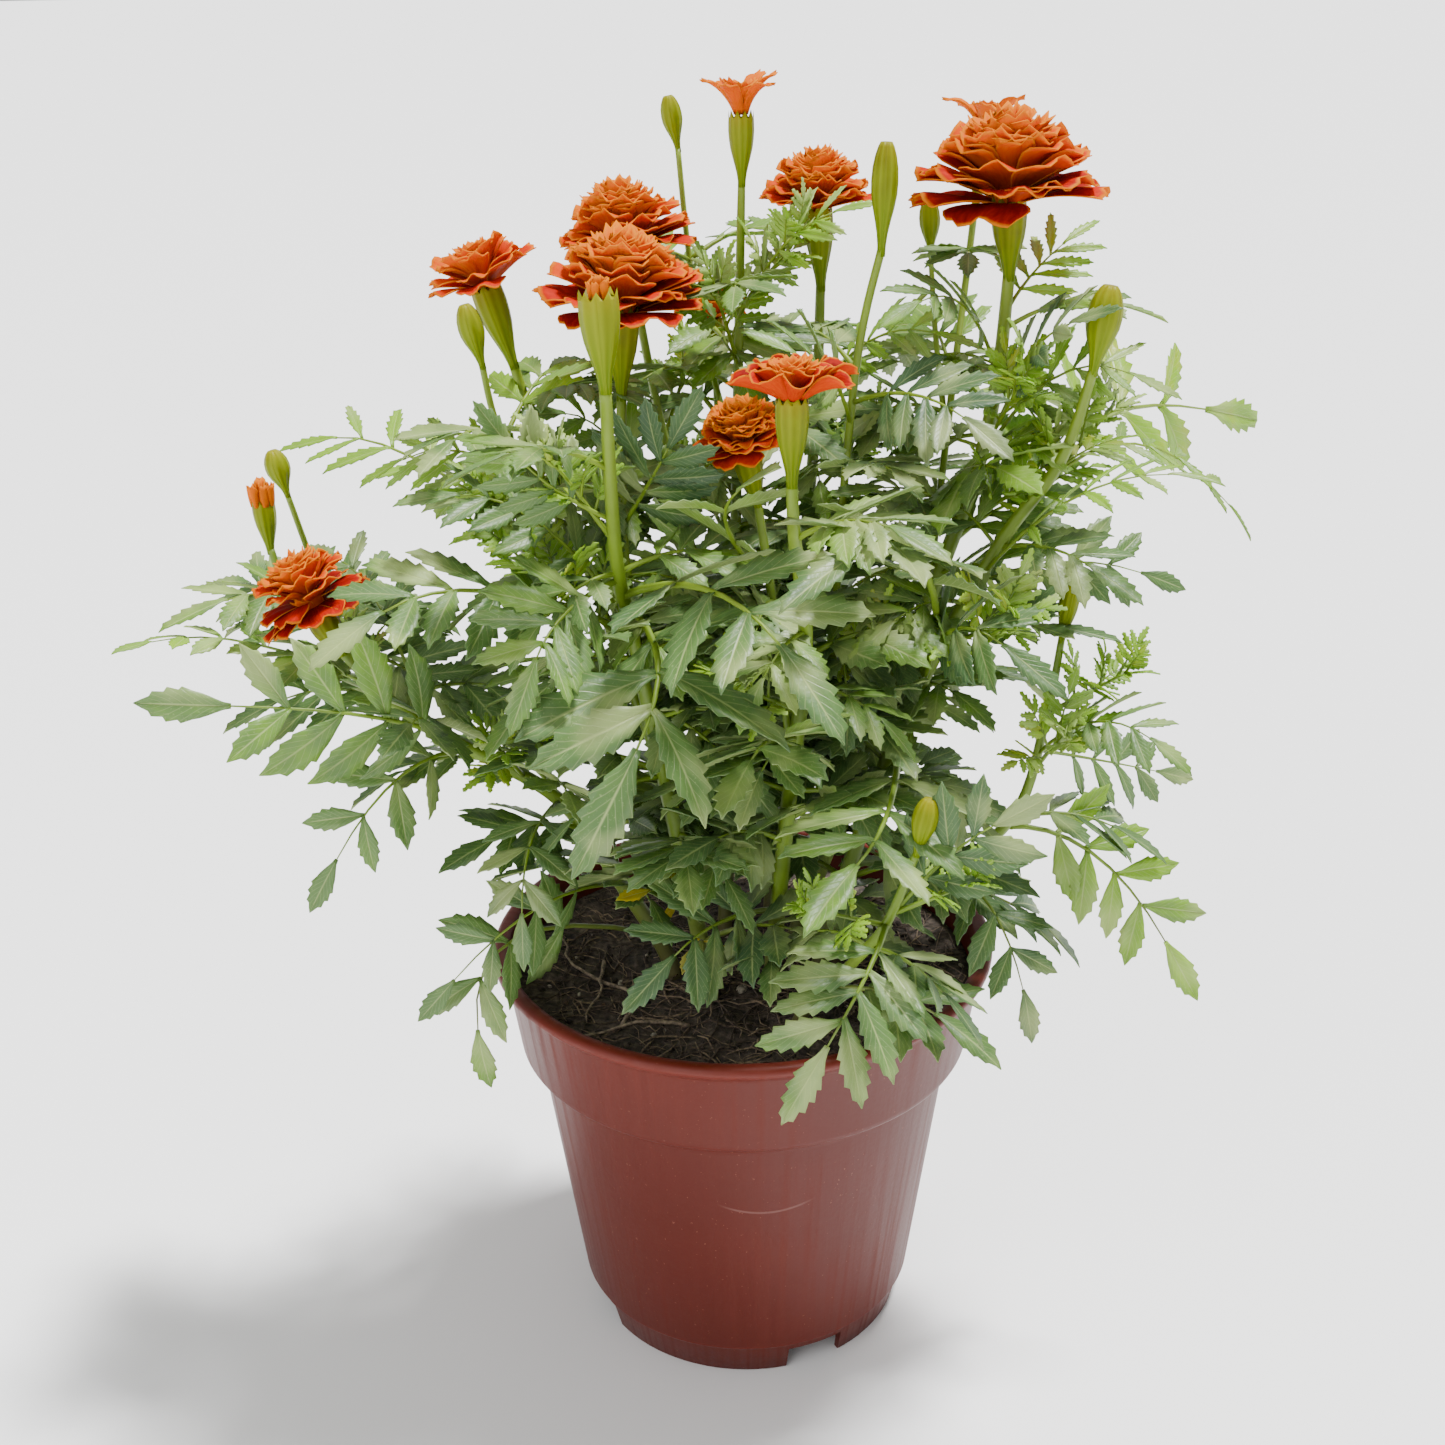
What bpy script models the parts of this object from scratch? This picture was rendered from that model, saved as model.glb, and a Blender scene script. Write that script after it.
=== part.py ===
"""Potted marigold: a nursery pot, its soil, leafy stems standing in holes in the soil,
and a double flower seated on each open calyx.
Metres, +Z up, origin on the pot's axis at the ground. The tables below are in millimetres."""
import math

import bmesh
import bpy
from mathutils import Matrix, Vector
from mathutils.bvhtree import BVHTree
from mathutils.geometry import intersect_point_line

MM = 0.001
GAP = 0.3

# Pot
RIM_Z = 141.7
RIM_R = 85.0
RIM_INNER_R = 79.4
LIP_R = 82.8
LIP_Z = RIM_Z - 4.8
BAND_TOP_R = 81.1
BAND_R = 77.2
BAND_Z = RIM_Z - 35.1
STEP_R = 73.8
STEP_Z = RIM_Z - 37.1
NECK_R = 71.0
NECK_Z = RIM_Z - 38.3
STEP_LIFT = 1.2
FOOT_R = 58.9
FOOT_Z = 13.2
BASE_R = 54.4
LIP_ROUND = 1.8
FOOT_ROUND = 1.6
WALL = 1.9
FLOOR_CORNER = 1.0
FLOOR_TOP = 13.0
FLOOR_UNDER = 11.0
FOOT_WALL = 2.2
TURN_STEPS = 30
NOTCHES = 4
NOTCH_FIRST_DEG = -66.0
NOTCH_WIDTH = 20.0
NOTCH_HEIGHT = 9.5
NOTCH_DEEP = 14.0
DRAINS = 6
DRAIN_R = 5.0
DRAIN_RING_R = 32.0
DRAIN_LONG = 8.0
ROUND_SIDES = 8

# Soil
SOIL_Z = 128.5
SOIL_RINGS = 3
SOIL_BUMP = 1.6
SOIL_EDGE = 1.1
HOLE_DEPTH_Z = 100.0
HOLE_LONG = 60.0
HOLE_SPARE = 0.8

# The most points that a loose scrap of a Boolean has
SCRAP_POINTS = 20

# Stems and leaves
BLADE = 0.7
RIB_HALF = 0.9
CLEAR = 1.0
STEM_RESOLUTION = 1
HEAD_RESOLUTION = 1
STEM_STEPS = 2
FORK_STEPS = 1
HEAD_SUNK = 1.5
# How slim the shoots are above the soil, as a share of the radii below
SLIM_TOP = 0.76

# Each stem's route from its hole in the soil, its radius at the base and at the top
STEMS = {
    "stem_left": ([(-24, -6, 100), (-24, -6, 131), (-40, -8, 165), (-59, -10, 197), (-86, -15, 218),
                   (-106, -20, 234), (-122, -25, 256)], 2.9, 2.2),
    "stem_front_left": ([(-11, -23, 100), (-11, -23, 131), (-20, -28, 190), (-32, -30, 259),
                         (-35, -50, 291), (-35, -70, 345)], 3.0, 2.2),
    "stem_back": ([(-6, 21, 100), (-6, 21, 131), (-2, 28, 200), (0, 30, 280), (2, 30, 350),
                   (3, 25, 387)], 2.6, 1.5),
    "stem_front": ([(9, -21, 100), (9, -21, 131), (14, -34, 200), (19, -50, 263), (15, -70, 302),
                    (14, -75, 320)], 2.9, 2.0),
    "stem_right": ([(17, 6, 100), (17, 6, 131), (40, 6, 200), (70, 5, 285), (80, 10, 322),
                    (83, 10, 360)], 3.0, 2.4),
    "stem_back_right": ([(10, 27, 100), (10, 27, 131), (18, 36, 220), (26, 40, 300), (28, 40, 353)],
                        2.6, 2.0),
    "stem_low_right": ([(33, 2, 100), (33, 2, 131), (60, -6, 160), (88, -14, 190), (96, -20, 227),
                        (99.5, -20, 254)], 2.5, 1.4),
    "stem_upper_right": ([(24, -15, 100), (24, -15, 131), (50, -14, 220), (78, -15, 280), (96, -20, 310),
                          (104, -20, 337)], 2.8, 1.9),
    "stem_low_front": ([(17, -42, 100), (17, -42, 131), (30, -60, 160), (41, -80, 188), (49, -86, 215)],
                       2.3, 1.4),
}

# Side shoots: stem, route from inside that stem, radius at the root and at the top
FORKS = {
    "left_opening": ("stem_left", [(-86, -15, 218), (-120, 5, 235), (-146, 24, 254), (-154, 30, 272)],
                     1.8, 1.6),
    "left_bud": ("stem_left", [(-120, 5, 235), (-132, 8, 262), (-140.5, 5, 298)], 1.4, 1.2),
    "front_double": ("stem_front_left", [(-30, -29, 248), (-35, -12, 285), (-34, -10, 330)], 2.0, 2.0),
    "tilted": ("stem_front_left", [(-22, -28, 205), (-45, -5, 268), (-64, 10, 322), (-68, 10, 336)], 2.0, 2.0),
    "tilted_bud": ("stem_front_left", [(-55, 3, 296), (-70, -8, 316), (-75, -10, 340)], 1.4, 1.3),
    "back_double": ("stem_back", [(-2, 28, 215), (-22, 38, 300), (-30, 40, 344)], 1.8, 1.8),
    "back_bud": ("stem_back", [(0, 30, 300), (-12, 57, 345), (-17, 64, 394)], 1.4, 1.2),
    "back_low": ("stem_back", [(-3, 27, 190), (-4, 60, 270), (-6, 79, 318)], 1.8, 1.6),
    "front_second": ("stem_front", [(16, -39, 218), (10, -24, 270), (6, -20, 298)], 1.8, 1.8),
    "right_tall_bud": ("stem_right", [(30, 6, 168), (31, -1, 260), (36, -5, 335), (43, -5, 370)], 1.8, 1.6),
    "right_opening": ("stem_right", [(61, 5, 262), (70, 34, 318), (77, 58, 355), (79, 60, 374)], 1.6, 1.5),
    "right_back_bud": ("stem_right", [(68, 27, 306), (66, 48, 335), (65, 60, 360)], 1.4, 1.1),
}

# A calyx or bud has rings at these shares of its length, and these shares of its width there
CALYX = (0.0, 0.22, 0.5, 0.85, 1.0)
CALYX_SHARE = (0.0, 0.30, 0.74, 1.0, 0.96)
BUD_SHARE = (0.0, 0.26, 0.86, 0.86, 0.3)
# Heads: the shoot that carries each, where it ends, its width, and whether a flower opens from it
HEADS = {
    "stem_left": ((-127, -25, 267), 9.3, "flower"),
    "stem_front_left": ((-36, -70, 369), 10.8, "flower"),
    "stem_back": ((3, 25, 406), 7.6, "flower"),
    "stem_front": ((14, -75, 342), 8.7, "flower"),
    "stem_right": ((82, 10, 382), 10.4, "flower"),
    "stem_back_right": ((27, 40, 377), 9.2, "flower"),
    "stem_low_right": ((102, -20, 273), 6.0, "bud"),
    "stem_upper_right": ((107.5, -20, 361), 10.0, "bud"),
    "stem_low_front": ((52, -86, 231), 7.3, "bud"),
    "left_opening": ((-155, 31, 288), 7.4, "flower"),
    "left_bud": ((-143.6, 5, 311), 7.5, "bud"),
    "front_double": ((-33, -10, 355), 10.2, "flower"),
    "tilted": ((-75, 10, 359), 9.6, "flower"),
    "tilted_bud": ((-79, -10, 357), 7.5, "bud"),
    "back_double": ((-33, 40, 366), 9.4, "flower"),
    "back_bud": ((-19.7, 64, 409.4), 6.8, "bud"),
    "back_low": ((-7, 81, 336), 8.6, "flower"),
    "front_second": ((2, -24, 317), 8.6, "flower"),
    "right_tall_bud": ((44, -5, 400), 7.8, "bud"),
    "right_opening": ((82, 60, 396), 7.2, "flower"),
    "right_back_bud": ((64, 60, 377), 6.8, "bud"),
}

# Flowers: node, the head below it, how wide it spreads, how many petals a layer has, and its layers,
# each a share of the spread, a rise in degrees and the layer's thickness at the core
DOUBLE = ((1.0, 6.0, 2.6), (0.88, 26.0, 2.8), (0.62, 50.0, 3.2))
SINGLE = ((1.0, 14.0, 2.6), (0.68, 44.0, 3.0))
OPENING = ((1.0, 40.0, 3.0),)
CLOSED = ((1.0, 68.0, 2.6),)
FLOWERS = {
    "flower_top_right": ("stem_right", 54.0, 8, DOUBLE),
    "flower_front_double": ("front_double", 48.0, 7, DOUBLE),
    "flower_back_double": ("back_double", 42.0, 6, DOUBLE),
    "flower_back_right": ("stem_back_right", 36.0, 5, DOUBLE),
    "flower_tilted": ("tilted", 34.0, 6, SINGLE),
    "flower_front": ("stem_front", 31.0, 6, SINGLE),
    "flower_front_second": ("front_second", 30.0, 5, DOUBLE),
    "flower_left": ("stem_left", 34.0, 6, DOUBLE),
    "flower_back_low": ("back_low", 26.0, 5, SINGLE),
    "flower_opening_top": ("stem_back", 25.0, 5, OPENING),
    "flower_opening_right": ("right_opening", 26.0, 5, OPENING),
    "flower_opening_left": ("left_opening", 14.0, 5, OPENING),
    "flower_closed_front": ("stem_front_left", 9.0, 5, CLOSED),
}
# A petal's three outline points: how far out each lies, and how it waves, as shares of the layer's radius
PETAL_REACH = (0.52, 1.0, 0.94)
PETAL_RUFFLE = (0.0, 0.07, -0.07)
CREST_HIGH = 0.09
CREST_WIDE = 0.55
CORE_OF_HEAD = 0.4
CORE_OF_SPREAD = 0.2

# Leaves, most visible first: stem, root, middle, tip, pairs of leaflets, leaflet length, upper side faces
LEAVES = [
    ("stem_low_front", (42, -80, 188), (30, -105, 178), (7, -122, 146), 3, 23, (0, -0.8, 0.6)),
    ("stem_front_left", (-29, -35, 274), (-24, -85, 262), (-49, -110, 225), 3, 32, (0, -1, 0.1)),
    ("stem_front_left", (-29, -35, 280), (-3, -90, 292), (20, -120, 269), 2, 25, (0, -0.6, 1)),
    ("stem_left", (-88, -16, 220), (-114, -55, 247), (-170, -76, 259), 3, 22, (0, -1, 0.35)),
    ("stem_upper_right", (61, -15, 250), (45, -75, 301), (18, -105, 299), 2, 25, (0, -0.5, 1)),
    ("stem_left", (-86, -20, 215), (-108, -45, 218), (-132, -60, 182), 2, 15, (0, -1, 0.5)),
    ("stem_left", (-122, 2, 238), (-157, -12, 255), (-184, -40, 262), 2, 12, (0, -0.1, 1)),
    ("stem_upper_right", (94, -19, 306), (129, 35, 313), (184, 70, 298), 2, 25, (0, -1, 0.3)),
    ("stem_low_right", (85, -12, 187), (120, -20, 174), (149, -35, 128), 2, 18, (0, -1, 0.5)),
    ("stem_upper_right", (50, -14, 220), (25, -80, 222), (-1, -110, 219), 2, 25, (0, -0.5, 1)),
    ("stem_front_left", (-33, -32, 262), (-80, -60, 286), (-109, -85, 276), 2, 23, (0, -0.5, 1)),
    ("stem_front_left", (-34, -45, 283), (-52, -78, 280), (-58, -95, 262), 2, 19, (0, -1, 0.3)),
    ("stem_front_left", (-50, 0, 283), (-100, 22, 302), (-137, 35, 305), 2, 17, (0, -0.6, 1)),
    ("stem_left", (-40, -8, 165), (-67, -52, 178), (-99, -66, 150), 2, 15, (0, -1, 0.3)),
    ("stem_upper_right", (74, -15, 272), (102, -35, 305), (134, -45, 310), 2, 14, (0, -0.2, 1)),
    ("stem_upper_right", (90, -18, 300), (127, 0, 309), (165, 5, 275), 1, 13, (0, -0.3, 1)),
    ("stem_right", (82, 10, 348), (95, 20, 362), (114, 30, 374), 2, 13, (0, -0.6, 1)),
    ("stem_right", (60, 5, 256), (104, 10, 269), (144, 15, 257), 2, 15, (0, -0.8, 0.5)),
    ("stem_low_right", (94, -18, 216), (122, 0, 203), (152, 10, 192), 2, 14, (0, -0.8, 0.5)),
    ("stem_low_right", (68, -8, 168), (83, -34, 161), (93, -48, 122), 2, 15, (0.3, -1, 0.2)),
    ("stem_upper_right", (56, -14, 240), (66, -48, 268), (89, -62, 252), 2, 20, (0, -0.7, 0.6)),
    ("stem_low_front", (42, -80, 190), (63, -84, 218), (82, -90, 232), 2, 17, (0, -1, 0.4)),
    ("stem_front", (11, -26, 165), (-14, -52, 170), (-32, -66, 153), 2, 20, (0, -0.8, 0.6)),
    ("stem_left", (-59, -10, 197), (-74, -46, 196), (-78, -62, 168), 2, 15, (-0.2, -1, 0.4)),
    ("stem_front_left", (-35, -55, 304), (-56, -62, 320), (-66, -66, 338), 2, 15, (0, -1, 0.4)),
    ("front_double", (-34, -13, 290), (-24, -34, 312), (-12, -38, 334), 2, 18, (0, -1, 0.2)),
    ("front_second", (9, -23, 275), (-4, -58, 306), (10, -84, 324), 2, 19, (0, -0.5, 1)),
    ("right_tall_bud", (35, -4, 325), (54, -36, 333), (72, -58, 322), 2, 17, (0, -0.8, 0.6)),
    ("stem_back", (2, 30, 345), (19, 16, 372), (40, 10, 380), 2, 13, (0, -0.6, 0.8)),
    ("stem_right", (79, 9, 318), (90, -15, 345), (103, -27, 352), 1, 15, (0, -0.6, 0.8)),
    ("stem_back", (0, 30, 285), (-14, 74, 300), (-30, 122, 292), 2, 20, (0, 0.5, 1)),
    ("stem_back", (-2, 27, 195), (-30, 72, 210), (-52, 106, 186), 2, 20, (0, 0.6, 1)),
    ("stem_back_right", (18, 36, 225), (40, 80, 242), (62, 110, 222), 2, 20, (0, 0.6, 1)),
    ("stem_back_right", (26, 40, 305), (46, 72, 324), (60, 102, 318), 2, 18, (0, 0.5, 1)),
    ("stem_right", (44, 6, 212), (82, 40, 222), (112, 62, 198), 2, 19, (0.4, 0.4, 1)),
    ("stem_left", (-52, -9, 186), (-84, 34, 200), (-108, 60, 178), 2, 19, (-0.4, 0.4, 1)),
    ("tilted", (-48, -2, 276), (-72, 44, 290), (-92, 80, 276), 2, 18, (-0.3, 0.5, 1)),
    ("back_low", (-4, 45, 235), (-46, 82, 250), (-70, 104, 238), 2, 18, (0, 0.5, 1)),
    ("stem_left", (-30, -7, 145), (-77, -45, 162), (-80, -60, 120), 2, 16, (-0.3, -1, 0.3)),
]

# Leaves set by rule: shoot, how many, where the first and last sit along it, and their length
FILLS = [
    ("stem_left", 2, 0.35, 0.75, 58), ("stem_front_left", 3, 0.35, 0.85, 60), ("tilted", 1, 0.6, 0.6, 54),
    ("stem_back", 2, 0.45, 0.8, 56), ("stem_front", 3, 0.3, 0.8, 60), ("stem_right", 3, 0.35, 0.85, 58),
    ("right_tall_bud", 1, 0.5, 0.5, 52), ("right_opening", 1, 0.5, 0.5, 48),
]
FILL_TURN_DEG = 137.5
# Such a leaf as shares of its length: its arch, its tip's rise, its leaflets, and how it shortens up the shoot
FILL_ARCH = 0.20
FILL_RISE = 0.06
FILL_LEAFLET = 0.33
FILL_SHORTER = 0.25
FILL_LEAN = 0.3

# Tries for a leaf that would cross another piece: turn about Z and lift in degrees, then a share of its size
TURNS = (0, 12, -12, 24, -24, 38, -38, 55, -55)
LIFTS = (0, 10, -10, 20, -20, 32)
SIZES = (1.0, 0.85, 0.7)

COLOURS = {
    "pot": (0.20, 0.032, 0.019, 0.55),
    "soil": (0.030, 0.021, 0.016, 0.95),
    "stem": (0.085, 0.16, 0.030, 0.55),
    "flower": (0.75, 0.13, 0.008, 0.60),
}


def clear_scene():
    for item in list(bpy.data.objects):
        bpy.data.objects.remove(item)


def collection(name, hidden=False):
    made = bpy.data.collections.new(name)
    bpy.context.scene.collection.children.link(made)
    made.hide_render = hidden
    return made


def material(kind, name):
    red, green, blue, rough = COLOURS[kind]
    made = bpy.data.materials.new(name)
    made.use_nodes = True
    shader = made.node_tree.nodes["Principled BSDF"]
    shader.inputs["Base Color"].default_value = (red, green, blue, 1.0)
    shader.inputs["Roughness"].default_value = rough
    shader.inputs["Metallic"].default_value = 0.0
    return made


def mesh_object(name, points, faces, where, edges=()):
    """A mesh object from millimetre points."""
    mesh = bpy.data.meshes.new(name)
    mesh.from_pydata([Vector(p) * MM for p in points], list(edges), list(faces))
    made = bpy.data.objects.new(name, mesh)
    where.objects.link(made)
    return made


def settle(item):
    """Apply an object's modifiers, or turn a curve into a mesh with welded caps."""
    bpy.context.view_layer.update()
    graph = bpy.context.evaluated_depsgraph_get()
    mesh = bpy.data.meshes.new_from_object(item.evaluated_get(graph))
    bm = bmesh.new()
    bm.from_mesh(mesh)
    bmesh.ops.remove_doubles(bm, verts=bm.verts, dist=1e-6)
    bm.to_mesh(mesh)
    bm.free()
    name = item.name
    where = item.users_collection[0]
    place = item.matrix_world.copy()
    bpy.data.objects.remove(item)
    made = bpy.data.objects.new(name, mesh)
    made.matrix_world = place
    where.objects.link(made)
    return made


def turned(name, profile, where):
    """A turned solid from a profile that runs down its outer side."""
    edges = [(i, i + 1) for i in range(len(profile) - 1)]
    made = mesh_object(name, [(r, 0, z) for r, z in profile], [], where, edges)
    screw = made.modifiers.new("turn", "SCREW")
    screw.axis = "Z"
    screw.angle = math.tau
    screw.steps = TURN_STEPS
    screw.render_steps = TURN_STEPS
    screw.use_merge_vertices = True
    screw.merge_threshold = 1e-5
    return settle(made)


def join(base, others, operation):
    """One Boolean of a base with a collection of others, applied, and the others removed."""
    group = collection(base.name + "_others", hidden=True)
    for item in others:
        for owner in list(item.users_collection):
            owner.objects.unlink(item)
        group.objects.link(item)
        item.hide_render = True
        item.display_type = "WIRE"
    boolean = base.modifiers.new("join", "BOOLEAN")
    boolean.operation = operation
    boolean.operand_type = "COLLECTION"
    boolean.collection = group
    boolean.solver = "MANIFOLD" if operation == "UNION" else "EXACT"
    made = settle(base)
    for item in list(group.objects):
        bpy.data.objects.remove(item)
    bpy.data.collections.remove(group)
    keep_largest(made)
    return made


def enclosed(group):
    """The volume inside a group of vertices, below zero where they are the wall of a hollow."""
    total = 0.0
    for face in {face for vert in group for face in vert.link_faces}:
        first, *rest = [vert.co for vert in face.verts]
        for a, b in zip(rest, rest[1:]):
            total += first.dot(a.cross(b)) / 6
    return total


def keep_largest(item):
    """Drop the loose scraps and fill the sealed hollows that a Boolean can leave, but stop at a larger
    solid that isn't joined."""
    bm = bmesh.new()
    bm.from_mesh(item.data)
    left = set(bm.verts)
    groups = []
    while left:
        start = left.pop()
        found = {start}
        open_ends = [start]
        while open_ends:
            vert = open_ends.pop()
            for edge in vert.link_edges:
                other = edge.other_vert(vert)
                if other in left:
                    left.discard(other)
                    found.add(other)
                    open_ends.append(other)
        groups.append(found)
    groups.sort(key=len)
    for group in groups[:-1]:
        if len(group) > SCRAP_POINTS and enclosed(group) > 0:
            raise ValueError("%s: a body of %d points isn't joined to it" % (item.name, len(group)))
        bmesh.ops.delete(bm, geom=list(group), context="VERTS")
    bm.to_mesh(item.data)
    bm.free()


def outward(item):
    """Turn all of a mesh's faces one way, which is out on a closed mesh."""
    bm = bmesh.new()
    bm.from_mesh(item.data)
    bmesh.ops.recalc_face_normals(bm, faces=bm.faces)
    bm.to_mesh(item.data)
    bm.free()


def finish(item, kind):
    item.data.materials.clear()
    item.data.materials.append(material(kind, item.name))
    item.data.shade_smooth()
    item.data.set_sharp_from_angle(angle=math.radians(35))


def pot(where):
    """The pot: rolled lip, wide band, tapered body and a notched foot, with drain holes in its floor."""
    profile = [
        (0, FLOOR_TOP), (FOOT_R - WALL - FLOOR_CORNER, FLOOR_TOP), (NECK_R - WALL, NECK_Z + STEP_LIFT),
        (BAND_R - WALL, BAND_Z + STEP_LIFT), (BAND_TOP_R - WALL, LIP_Z - 2 * WALL),
        (RIM_INNER_R, RIM_Z - LIP_ROUND), (RIM_INNER_R + LIP_ROUND, RIM_Z), (RIM_R - LIP_ROUND, RIM_Z),
        (RIM_R, RIM_Z - LIP_ROUND), (LIP_R, LIP_Z), (BAND_TOP_R, LIP_Z - LIP_ROUND), (BAND_R, BAND_Z),
        (STEP_R, STEP_Z), (NECK_R, NECK_Z), (FOOT_R, FOOT_Z), (FOOT_R - FOOT_ROUND, FOOT_Z - FOOT_ROUND),
        (BASE_R, 0), (BASE_R - FOOT_WALL, 0), (BASE_R - FOOT_WALL + FOOT_ROUND, FLOOR_UNDER), (0, FLOOR_UNDER),
    ]
    made = turned("pot", profile, where)
    cuts = []
    for k in range(NOTCHES):
        angle = math.radians(NOTCH_FIRST_DEG + 360.0 * k / NOTCHES)
        bpy.ops.mesh.primitive_cube_add(size=1.0)
        cut = bpy.context.object
        cut.name = "notch_%d" % k
        cut.data.transform(Matrix.Diagonal((NOTCH_DEEP * MM, NOTCH_WIDTH * MM, 2 * NOTCH_HEIGHT * MM, 1)))
        cut.matrix_world = (Matrix.Rotation(angle, 4, "Z")
                            @ Matrix.Translation((BASE_R * MM, 0, 0)))
        cuts.append(cut)
    for k in range(DRAINS):
        angle = math.tau * k / DRAINS
        spot = Vector((math.cos(angle), math.sin(angle), 0)) * DRAIN_RING_R
        bpy.ops.mesh.primitive_cylinder_add(vertices=ROUND_SIDES, radius=DRAIN_R * MM, depth=DRAIN_LONG * MM)
        cut = bpy.context.object
        cut.name = "drain_%d" % k
        cut.location = (spot + Vector((0, 0, (FLOOR_TOP + FLOOR_UNDER) / 2))) * MM
        cuts.append(cut)
    made = join(made, cuts, "DIFFERENCE")
    finish(made, "pot")
    return made


def soil(where):
    """The soil: fills the pot to below its rim, with an uneven top and a plain hole for each stem."""
    top_r = BAND_TOP_R - WALL - SOIL_EDGE
    rings = [(top_r * k / SOIL_RINGS, SOIL_Z) for k in range(SOIL_RINGS + 1)]
    ledge = STEP_LIFT + GAP
    profile = rings + [
        (BAND_R - WALL - GAP, BAND_Z + ledge), (NECK_R - WALL - GAP, NECK_Z + ledge),
        (FOOT_R - WALL - FLOOR_CORNER - GAP, FLOOR_TOP + GAP), (0, FLOOR_TOP + GAP),
    ]
    made = turned("soil", profile, where)
    for vert in made.data.vertices:
        x, y, z = vert.co / MM
        if z > SOIL_Z - 0.1 and math.hypot(x, y) < top_r - 1:
            vert.co.z += MM * SOIL_BUMP * (math.sin(0.13 * x + 1.0) * math.cos(0.11 * y)
                                           + 0.5 * math.sin(0.31 * y - 0.27 * x))
    cuts = []
    low = HOLE_DEPTH_Z - GAP
    for name, (route, base_r, _) in STEMS.items():
        x, y, _ = route[0]
        radius = base_r + HOLE_SPARE
        bpy.ops.mesh.primitive_cylinder_add(vertices=ROUND_SIDES, radius=radius * MM, depth=HOLE_LONG * MM)
        cut = bpy.context.object
        cut.name = "hole_" + name
        cut.location = (x * MM, y * MM, (low + HOLE_LONG / 2) * MM)
        cuts.append(cut)
    made = join(made, cuts, "DIFFERENCE")
    finish(made, "soil")
    return made


def shoot_points(name):
    """A shoot's smooth route: a Catmull-Rom curve through its points, straight inside its hole."""
    straight = name in STEMS
    pts = [Vector(p) for p in routes()[name][1]]
    steps = STEM_STEPS if straight else FORK_STEPS
    out = [pts[0]] if straight else []
    for i in range(1 if straight else 0, len(pts) - 1):
        a, b = pts[i], pts[i + 1]
        before = 2 * a - b if i < 1 else pts[i - 1]
        after = pts[min(i + 2, len(pts) - 1)]
        for k in range(steps):
            t = k / steps
            out.append(0.5 * (2 * a + (b - before) * t + (2 * before - 5 * a + 4 * b - after) * t * t
                              + (3 * a - before - 3 * b + after) * t ** 3))
    out.append(pts[-1])
    return out


def tube(name, points, radii, resolution, where):
    """A tapered tube with filled caps, made a mesh."""
    data = bpy.data.curves.new(name, "CURVE")
    data.dimensions = "3D"
    data.bevel_depth = MM
    data.bevel_resolution = resolution
    data.use_fill_caps = True
    spline = data.splines.new("POLY")
    spline.points.add(len(points) - 1)
    for point, place, radius in zip(spline.points, points, radii):
        point.co = (*(Vector(place) * MM), 1.0)
        point.radius = radius
    made = bpy.data.objects.new(name, data)
    where.objects.link(made)
    return settle(made)


def routes():
    """Every shoot by its name: its stem, its route, and its radii at the root and at the top."""
    out = {}
    for name, (route, low, high) in STEMS.items():
        out[name] = (name, route, low, high * SLIM_TOP)
    for name, (stem, route, low, high) in FORKS.items():
        out[name] = (stem, route, low * SLIM_TOP, high * SLIM_TOP)
    return out


def on_shoot(name, place):
    """The point of a shoot's middle line nearest to a place, so a leaf's root is sunk into the stem."""
    points = shoot_points(name)
    best = points[0]
    for a, b in zip(points, points[1:]):
        near, share = intersect_point_line(place, a, b)
        near = a + (b - a) * min(max(share, 0.0), 1.0)
        if (near - place).length < (best - place).length:
            best = near
    return best


def shoot(name, low, high, where):
    """A shoot's tube and the head at its end, as two solids that overlap."""
    points = shoot_points(name)
    count = len(points) - 1
    radii = [low + (high - low) * k / count for k in range(count + 1)]
    stem = tube(name, points, radii, STEM_RESOLUTION, where)
    end = Vector(HEADS[name][0])
    width = HEADS[name][1]
    shares = CALYX_SHARE if HEADS[name][2] == "flower" else BUD_SHARE
    start = points[-1] - (end - points[-1]).normalized() * HEAD_SUNK
    places = [start + (end - start) * s for s in CALYX]
    head_radii = [max(high * 0.96, width / 2 * share) for share in shares]
    if HEADS[name][2] == "bud":
        head_radii[-1] = width / 2 * shares[-1]
    resolution = HEAD_RESOLUTION if HEADS[name][2] == "flower" else STEM_RESOLUTION
    head = tube(name + "_head", places, head_radii, resolution, where)
    return stem, head


def rib(root, middle, tip, t):
    """A point and a direction on the arched rib through a leaf's root, middle and tip."""
    control = 2 * middle - (root + tip) / 2
    place = (1 - t) ** 2 * root + 2 * t * (1 - t) * control + t * t * tip
    along = (2 * (1 - t) * (control - root) + 2 * t * (tip - control)).normalized()
    return place, along


# A leaflet's half width at shares of its length: shoulder, cut and second tooth, or two teeth if it is small
LEAFLET = ((0.30, 1.0), (0.40, 0.70), (0.68, 0.84))
SMALL_LEAFLET = ((0.34, 1.0), (0.70, 0.72))
SMALL_UNDER = 24.0
LEAFLET_HALF = 0.19
LEAFLET_DROOP = 0.10
END_LEAFLET = 1.25
PAIRS_FROM = 0.36
ONE_PAIR_AT = 0.5
BASE_HALF = 0.08
BASE_HALF_MOST = 1.3
FIRST_PAIR_DEG = 62.0
LAST_PAIR_DEG = 48.0


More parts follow.
